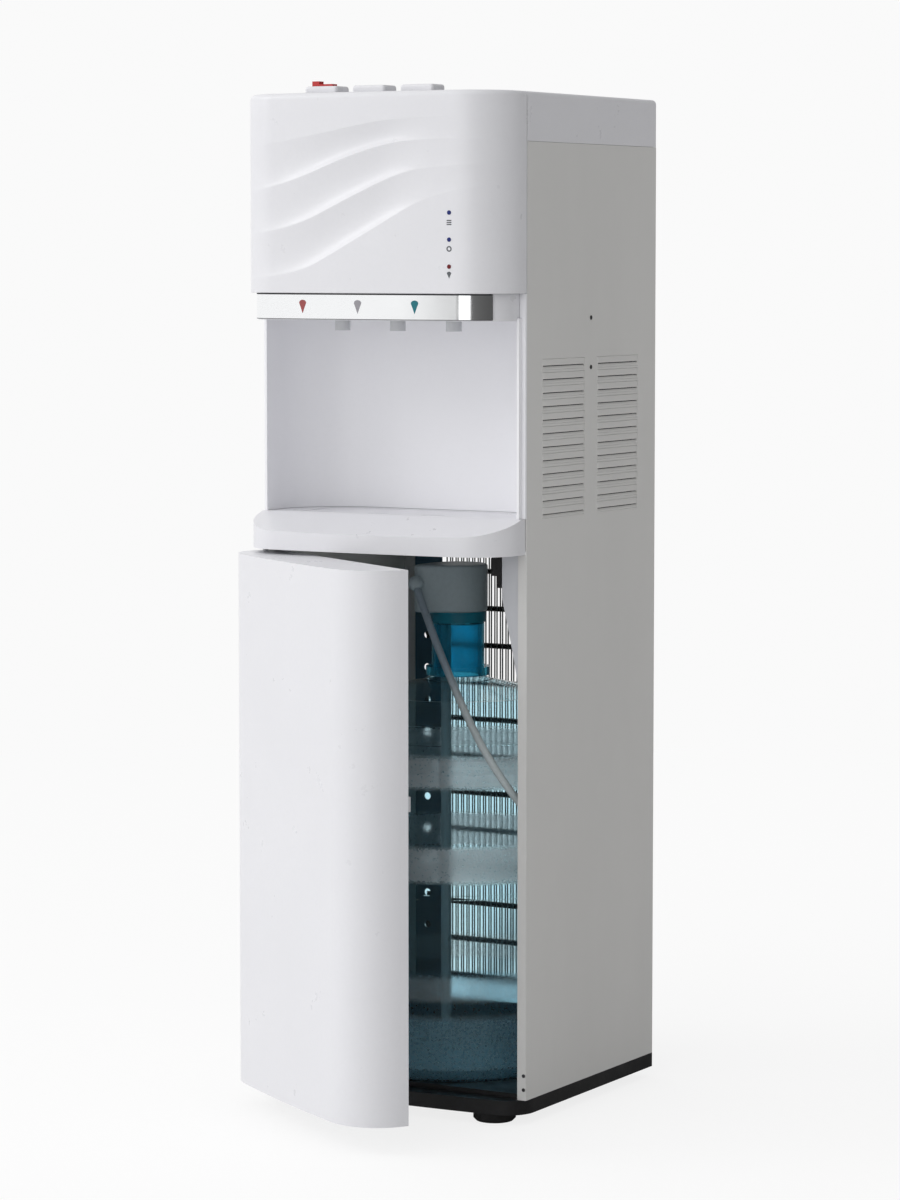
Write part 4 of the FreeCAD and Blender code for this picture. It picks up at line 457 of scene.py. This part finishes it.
# A sharp edge keeps its look with a row of points this close to it
ARRIS, EDGE = 0.3, 0.5
FASCIA_STEP = 1.6
BAND_SHARES = (0.06, 0.14, 0.24, 0.36, 0.48, 0.60, 0.72, 0.82, 0.90, 0.96)
# The largest value of share * (1 - share ** 3)
FLUTE_PEAK = 0.4725


def eased(number):
    number = min(max(number, 0.0), 1.0)
    return number * number * (3 - 2 * number)


def line_height(curve, x):
    """Height at x of the straight runs through the curve's points."""
    for (x0, z0), (x1, z1) in zip(curve, curve[1:]):
        if x <= x1:
            return z0 + (z1 - z0) * (x - x0) / (x1 - x0)
    return curve[-1][1]


def wave_height(curve, x):
    """The same height with the corners between the runs rounded."""
    return sum(line_height(curve, x + shift) for shift in WAVE_ROUNDING) / len(WAVE_ROUNDING)


def strength(x, y):
    """The waves rise out of the flat left side, are full in the middle and fade before the right corner."""
    rise = eased((x - RISE_FROM) / RISE_OVER)
    fade = 1 - FADE_SHARE * eased((x - FADE_FROM) / FADE_OVER)
    return rise * fade * (1 - eased((y - END_FROM) / END_OVER))


def flute(share):
    """Depth across a wave: 0 at its upper edge, 1 at its deepest, and turned out again at its lower edge."""
    return share * (1 - share ** 3) / FLUTE_PEAK


def fascia_rows(x, deep):
    """Heights up the front at x, and how far each stands out from the plain outline."""
    edges = [wave_height(curve, x) for curve in WAVES]
    rows = [(FASCIA_BOTTOM, -EDGE), (FASCIA_BOTTOM + EDGE, 0.0), (FASCIA_BOTTOM + 2 * EDGE, 0.0)]
    rows += [(FASCIA_BOTTOM + (edges[0] - ARRIS - FASCIA_BOTTOM) * share / 3, 0.0) for share in (1, 2, 3)]
    for low, high in zip(edges, edges[1:]):
        rows.append((low, 0.0))
        rows += [(high - (high - low) * share, -deep * flute(share)) for share in reversed(BAND_SHARES)]
        rows.append((high - ARRIS, -deep * flute(ARRIS / (high - low))))
    rows.append((edges[-1], 0.0))
    low, top = edges[-1] + ARRIS, FASCIA_TOP - TOP_ROUND
    rows += [(low + (top - low) * share, 0.0) for share in (0, 0.3, 0.6, 1.0)]
    for angle in range(15, 91, 15):
        turned = math.radians(angle)
        rows.append((top + TOP_ROUND * math.sin(turned), -TOP_ROUND * (1 - math.cos(turned))))
    return rows


def fill_top(shape, ring, level):
    """A face inside the ring with the three buttons' holes left open; gives the holes' corners."""
    edges = [shape.edges.get(pair) or shape.edges.new(pair) for pair in zip(ring, ring[1:] + ring[:1])]
    holes = []
    for centre in BUTTON_PLACES:
        places = [(centre + sx * BUTTON_HALF_WIDTH, BUTTON_Y + sy * BUTTON_HALF_DEPTH)
                  for sx, sy in ((-1, -1), (1, -1), (1, 1), (-1, 1))]
        corners = [shape.verts.new(at(x, y, level)) for x, y in places]
        edges += [shape.edges.new(pair) for pair in zip(corners, corners[1:] + corners[:1])]
        holes.append(corners)
    bmesh.ops.triangle_fill(shape, edges=edges, use_beauty=True, use_dissolve=False)
    return holes


def build_fascia(shape):
    outer, inner = [], []
    for x, y, nx, ny in outline(FASCIA_STEP):
        deep = FLUTE_DEPTH * strength(x, y)
        outer.append([shape.verts.new(at(x + nx * out, y + ny * out, z)) for z, out in fascia_rows(x, deep)])
        back_x, back_y = x - nx * (WALL + deep), y - ny * (WALL + deep)
        inner.append([shape.verts.new(at(back_x, back_y, z)) for z in (FASCIA_BOTTOM, FASCIA_TOP - TOP_WALL)])
    for first, second in zip(outer, outer[1:]):
        for row in range(len(first) - 1):
            shape.faces.new((first[row], second[row], second[row + 1], first[row + 1]))
    for index in range(len(outer) - 1):
        shape.faces.new((inner[index][0], inner[index][1], inner[index + 1][1], inner[index + 1][0]))
        shape.faces.new((outer[index][0], inner[index][0], inner[index + 1][0], outer[index + 1][0]))
    upper_holes = fill_top(shape, [column[-1] for column in outer], FASCIA_TOP)
    lower_holes = fill_top(shape, [column[1] for column in inner], FASCIA_TOP - TOP_WALL)
    for upper, lower in zip(upper_holes, lower_holes):
        for index in range(4):
            after = (index + 1) % 4
            shape.faces.new((upper[index], upper[after], lower[after], lower[index]))
    for column, back in ((outer[0], inner[0]), (outer[-1], inner[-1])):
        shape.faces.new([*column, back[1], back[0]])
    shape.faces.new((outer[0][-1], outer[-1][-1], inner[-1][1], inner[0][1]))


fascia = new_piece("fascia_relief", build_fascia, "cabinet", materials["white_plastic"])
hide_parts("front_fascia")


# Pressed louvres over the vents in the side panels

VENT_LOW, VENT_PITCH, VENT_ROWS, VENT_LENGTH = 620.5, 13.7, 12, 89.0
VENT_FRONTS = (34.0, 154.0)
# Profiles across a louvre, as (out of the panel, up) pairs: the pressed hood and the sill under its gap
HOOD = [(0.02, 10.4), (0.12, 9.3), (0.34, 8.0), (0.68, 6.4), (0.93, 4.9), (0.88, 4.0), (0.60, 3.6),
        (-0.40, 3.7), (-0.70, 4.4), (-0.70, 5.0), (-0.10, 5.2)]
SILL = [(0.02, -1.0), (0.02, 0.1), (-0.20, 0.9), (-0.50, 1.8), (-0.85, 2.6), (-1.0, 2.8), (-1.0, -0.3),
        (-0.10, -0.6)]
# How far the hood stands out near each end, as (distance from the end, share) pairs
ENDS = [(-1.6, 0.02), (-0.6, 0.30), (0.8, 0.72), (2.6, 0.96), (4.6, 1.0)]


def build_louvres(side):
    def place(out, push, y, z):
        return at(side * (HALF_WIDTH + (out * push if out > 0 else out)), y, z)

    def build(shape):
        for row in range(VENT_ROWS):
            low = VENT_LOW + VENT_PITCH * row
            for front in VENT_FRONTS:
                stations = [(front + reach, push) for reach, push in ENDS]
                stations += [(front + VENT_LENGTH - reach, push) for reach, push in reversed(ENDS)]
                for profile in (HOOD, SILL):
                    join_rings(shape, [[shape.verts.new(place(out, push, y, low + up)) for out, up in profile]
                                       for y, push in stations])
    return build


for side, word in ((-1, "left"), (1, "right")):
    new_piece(f"vent_louvres_{word}", build_louvres(side), "cabinet", materials["white_steel"])


# Screw heads, domed and with a cross recess

HEAD_RINGS, HEAD_STEPS = 12, 48
# As shares of a head's height: how much lower its edge lies, and how deep its cross is sunk
# As shares of its radius: half the cross's width, and the cross's reach
HEAD_FALL, CROSS_DEPTH, CROSS_HALF, CROSS_REACH = 0.55, 0.6, 0.15, 0.62


def head_height(across, up, radius, height):
    reach = math.hypot(across, up)
    tall = height * (1 - HEAD_FALL * (reach / radius) ** 2)
    if min(abs(across), abs(up)) < radius * CROSS_HALF and reach < radius * CROSS_REACH:
        tall -= height * CROSS_DEPTH
    return tall


def build_screws(places, radius, height):
    """Heads at the given places, as (point, outward direction) pairs in the cabinet's millimetres."""
    def build(shape):
        for place, outward in places:
            middle, outward = Vector(place), Vector(outward)
            side = Vector((0, 0, 1)).cross(outward).normalized()
            upward = outward.cross(side)

            def point(across, up, out):
                return shape.verts.new(at(*(middle + side * across + upward * up + outward * out)))

            turns = [(math.cos(math.tau * step / HEAD_STEPS), math.sin(math.tau * step / HEAD_STEPS))
                     for step in range(HEAD_STEPS)]
            reaches = [radius * ring / HEAD_RINGS for ring in range(1, HEAD_RINGS + 1)]
            grid = [[point(reach * cos, reach * sin, head_height(reach * cos, reach * sin, radius, height))
                     for cos, sin in turns] for reach in reaches]
            grid.append([point(radius * cos, radius * sin, 0) for cos, sin in turns])
            centre = point(0, 0, height * (1 - CROSS_DEPTH))
            for step in range(HEAD_STEPS):
                after = (step + 1) % HEAD_STEPS
                shape.faces.new((centre, grid[0][step], grid[0][after]))
                for inner, outer in zip(grid, grid[1:]):
                    shape.faces.new((inner[step], outer[step], outer[after], inner[after]))
            shape.faces.new(grid[-1])
    return build


screw_metal = metal("dull_screw", (0.16, 0.16, 0.17), 0.45, (6, 6, 6), 0.00003, spots=(0.07, 0.065, 0.06))
SCREW_BACK, SCREW_HEIGHTS = 138.0, (771.0, 822.0)
panel_screws = [((side * HALF_WIDTH, SCREW_BACK, z), (side, 0, 0)) for side in (-1, 1) for z in SCREW_HEIGHTS]
heads = new_piece("panel_screw_heads", build_screws(panel_screws, 2.2, 1.1), "cabinet", screw_metal)
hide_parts("side_screws")
FLANGE_X, FLANGE_HEIGHTS = 152.3, (51.5, 37.0)
flange_screws = [((FLANGE_X, 0.0, z), (0, -1, 0)) for z in FLANGE_HEIGHTS]
new_piece("flange_screw_heads", build_screws(flange_screws, 1.9, 0.7), "cabinet", screw_metal)


# Small flat signs: drops on the trim strip over the taps, and a sign under each lens

# A place on the cabinet's y axis well before its front, from which the signs are laid on
BEFORE_FRONT = -400.0
# A drop's head and waist, as shares of its half width, and how low the waist is, as a share of its height
DROP_HEAD, DROP_WAIST, DROP_WAIST_LOW, DROP_STEPS = 0.75, 0.55, 0.42, 8
PADS = 16


def surface_of(obj):
    mesh = obj.data
    return BVHTree.FromPolygons([vertex.co for vertex in mesh.vertices],
                                [face.vertices for face in mesh.polygons])


def build_signs(surface, shapes, proud=0.25, sunk=0.4):
    """Flat shapes laid on a front surface; each is a list of (x, z) points of the cabinet."""
    def build(shape):
        for points in shapes:
            tops, feet = [], []
            for x, z in points:
                place = surface.ray_cast(at(x, BEFORE_FRONT, z), Vector((0, 1, 0)))[0]
                tops.append(shape.verts.new(place - Vector((0, proud * MM, 0))))
                feet.append(shape.verts.new(place + Vector((0, sunk * MM, 0))))
            join_rings(shape, [tops, feet])
    return build


def drop(x, z, half, tall):
    """A drop with a broad round head, a waist and a pointed foot."""
    points = [(x + half * math.cos(angle), z + half * DROP_HEAD * math.sin(angle))
              for angle in (math.pi * step / DROP_STEPS for step in range(DROP_STEPS + 1))]
    waist, waist_z = half * DROP_WAIST, z - tall * DROP_WAIST_LOW
    return points + [(x - waist, waist_z), (x, z - tall), (x + waist, waist_z)]


def pad_ring(x, z, outer, inner):
    """A ring of short pads."""
    made = []
    for step in range(PADS):
        start, end = math.tau * step / PADS, math.tau * (step + 1) / PADS
        corners = ((outer, start), (outer, end), (inner, end), (inner, start))
        made.append([(x + reach * math.cos(angle), z + reach * math.sin(angle)) for reach, angle in corners])
    return made


TAP_SIGN_Z, TAP_SIGN_HALF, TAP_SIGN_TALL = 838.0, 4.2, 10.5
trim_face = surface_of(nodes["trim_strip"])
for name, x, colour in (("sign_hot", -72.0, (0.36, 0.07, 0.07)), ("sign_ambient", -6.0, (0.34, 0.33, 0.36)),
                        ("sign_cold", 60.0, (0.0, 0.17, 0.21))):
    sign = drop(x, TAP_SIGN_Z, TAP_SIGN_HALF, TAP_SIGN_TALL)
    ink = moulded(f"{name}_ink", colour, 0.45, tint=0.12)
    new_piece(name, build_signs(trim_face, [sign]), "cabinet", ink, smooth=False)

# Thin dark strips above and below the trim strip, painted shadow in the grooves there: how far they lie
# behind the outline, where they end, and how deep and how proud they stand
TRIM_INSET, TRIM_END, SHADOW_STRIP_SUNK, SHADOW_STRIP_PROUD, SHADOW_STRIP_STEP = 5.7, -41.5, 0.3, 0.2, 3.0


def build_groove_shadow(low, high):
    section = ((-SHADOW_STRIP_SUNK, low), (SHADOW_STRIP_PROUD, low), (SHADOW_STRIP_PROUD, high), (-SHADOW_STRIP_SUNK, high))

    def build(shape):
        path = [(x - nx * TRIM_INSET, y - ny * TRIM_INSET, nx, ny) for x, y, nx, ny in outline(SHADOW_STRIP_STEP)]
        join_rings(shape, [[shape.verts.new(at(x + nx * out, y + ny * out, z)) for out, z in section]
                           for x, y, nx, ny in path if y < TRIM_END])
    return build


# Painted shadow: these strips are near-black in place of the shade in the grooves beside the trim strip
groove_shadow_dark = rubber("groove_shadow_dark", (0.06, 0.06, 0.065))
new_piece("trim_groove_shadow_top", build_groove_shadow(846.3, 847.6), "cabinet", groove_shadow_dark, smooth=False)
new_piece("trim_groove_shadow_bottom", build_groove_shadow(821.4, 822.0), "cabinet", groove_shadow_dark, smooth=False)

SIGN_X, BAR_HALF, BAR_THICK, BAR_HEIGHTS = 102.0, 2.6, 1.1, (916.2, 918.2, 920.2)
fascia_face = surface_of(fascia)
bars = [[(SIGN_X - BAR_HALF, z), (SIGN_X + BAR_HALF, z), (SIGN_X + BAR_HALF, z + BAR_THICK),
         (SIGN_X - BAR_HALF, z + BAR_THICK)] for z in BAR_HEIGHTS]
sign_ink = moulded("sign_ink", (0.11, 0.12, 0.13), 0.5, tint=0.15)
for name, shapes in (("sign_power", bars), ("sign_cooling", pad_ring(SIGN_X, 892.6, 2.9, 1.6)),
                     ("sign_heating", [drop(SIGN_X, 868.2, 2.4, 5.0)])):
    new_piece(name, build_signs(fascia_face, shapes, 0.12, 0.3), "cabinet", sign_ink, smooth=False)


# Studio: a floor and a world that both look pale, and that light the object softly

PALE, PALE_NEAR = 0.955, 1.045
# The floor counts as near up to the first distance and as far from the second, in metres
NEAR, FAR, FARTHEST = 0.7, 3.0, 6.0
# How much of the object's shadow shows on the near floor
SHADOW_SHARE = 0.22
FLOOR_RADIUS, FLOOR_SIDES = 40.0, 48
# One broad soft source before the object, high and a little to its left, in a dimmer room
SOFTBOX, SOFTBOX_SPREAD, SOFTBOX_GLOW = (-0.50, -0.68, 0.66), 3.0, 1.15
GLOW_ROUND, GLOW_ABOVE = 0.27, 0.30


def reflected(tree, across):
    """What a gloss shows: the pale surroundings at the left and front, greyer ones towards the right."""
    share = tree.math("MULTIPLY_ADD", across, 0.5, 0.5)
    return tree.ramp(share, [
        (0.285, PALE), (0.305, 0.50), (0.33, 0.85), (0.365, 0.32), (0.60, 0.15), (1.0, 0.08)])


def ray_kinds(tree):
    """Two numbers, 1 or 0: whether a ray shows how the studio looks, and whether it comes from a gloss."""
    rays = tree.node("ShaderNodeLightPath").outputs
    gloss = rays["Is Glossy Ray"]
    bent = tree.math("MAXIMUM", gloss, rays["Is Transmission Ray"])
    return tree.math("MAXIMUM", rays["Is Camera Ray"], bent), gloss


def pale_floor():
    """A floor that looks as pale as the world, with a share of the object's shadow near it."""
    shade = Shader("pale_floor", Roughness=0.9)
    shade.link(shade.ramp(shade.noise(1.5, 3), [(0.3, 0.80), (0.7, 0.82)]), "Base Color")
    flat = shade.node("ShaderNodeVectorMath", {"Vector": shade.place}, operation="NORMALIZE")
    across = shade.node("ShaderNodeSeparateXYZ", {"Vector": flat.outputs["Vector"]}).outputs["X"]
    away = shade.node("ShaderNodeVectorMath", {"Vector": shade.place}, operation="LENGTH").outputs["Value"]
    seen, gloss = ray_kinds(shade)
    near = shade.bands(away, 0.0, FARTHEST, [(NEAR, 1.0), (FAR, 0.0)])
    tone = shade.mix(near, (PALE, PALE, PALE), (PALE_NEAR, PALE_NEAR, PALE_NEAR))
    tone = shade.mix(gloss, tone, reflected(shade, across))
    plain = shade.node("ShaderNodeEmission", {"Color": tone, "Strength": 1.0})
    lit = shade.math("SUBTRACT", 1.0, shade.math("MULTIPLY", near, SHADOW_SHARE))
    mixer = shade.node("ShaderNodeMixShader", {
        "Fac": shade.math("MULTIPLY", seen, lit), 1: shade.bsdf.outputs[0], 2: plain.outputs[0]})
    shade.tree.links.new(mixer.outputs[0], shade.tree.nodes["Material Output"].inputs["Surface"])
    return shade.material


floor_mesh = bpy.data.meshes.new("floor")
turns = [math.tau * step / FLOOR_SIDES for step in range(FLOOR_SIDES)]
rim = [(FLOOR_RADIUS * math.cos(turn), FLOOR_RADIUS * math.sin(turn), 0) for turn in turns]
floor_mesh.from_pydata(rim, [], [tuple(range(FLOOR_SIDES))])
floor = link(bpy.data.objects.new("floor", floor_mesh))
floor_mesh.materials.append(pale_floor())

# The world

world = bpy.data.worlds.new("studio")
bpy.context.scene.world = world
world.use_nodes = True
sky = Nodes(world.node_tree, "Generated")
seen, gloss = ray_kinds(sky)
shown = sky.mix(gloss, (PALE, PALE, PALE), reflected(sky, sky.along("X")))
facing = sky.node("ShaderNodeVectorMath", {0: sky.place, 1: Vector(SOFTBOX).normalized()},
                  operation="DOT_PRODUCT").outputs["Value"]
lobe = sky.math("POWER", sky.math("MAXIMUM", facing, 0.0), SOFTBOX_SPREAD)
above = sky.math("MULTIPLY_ADD", sky.math("MAXIMUM", sky.along("Z"), 0.0), GLOW_ABOVE, GLOW_ROUND)
glow = sky.math("MULTIPLY_ADD", lobe, SOFTBOX_GLOW, above)
background = world.node_tree.nodes["Background"]
background.inputs["Strength"].default_value = 1.0
world.node_tree.links.new(sky.mix(seen, glow, shown), background.inputs["Color"])


# Two lamps

def lamp(name, place, aim, size, power):
    data = bpy.data.lights.new(name, "AREA")
    data.shape = "SQUARE"
    data.size = size
    data.energy = power
    obj = link(bpy.data.objects.new(name, data))
    obj.location = place
    obj.rotation_euler = (Vector(aim) - Vector(place)).to_track_quat("-Z", "Y").to_euler()


lamp("key", (-1.9, -1.3, 2.0), (0, 0, 0.85), 1.0, 10)
lamp("front", (0.2, -3.0, 0.85), (0, 0, 0.7), 1.6, 9)

bpy.context.scene.view_settings.view_transform = "Standard"
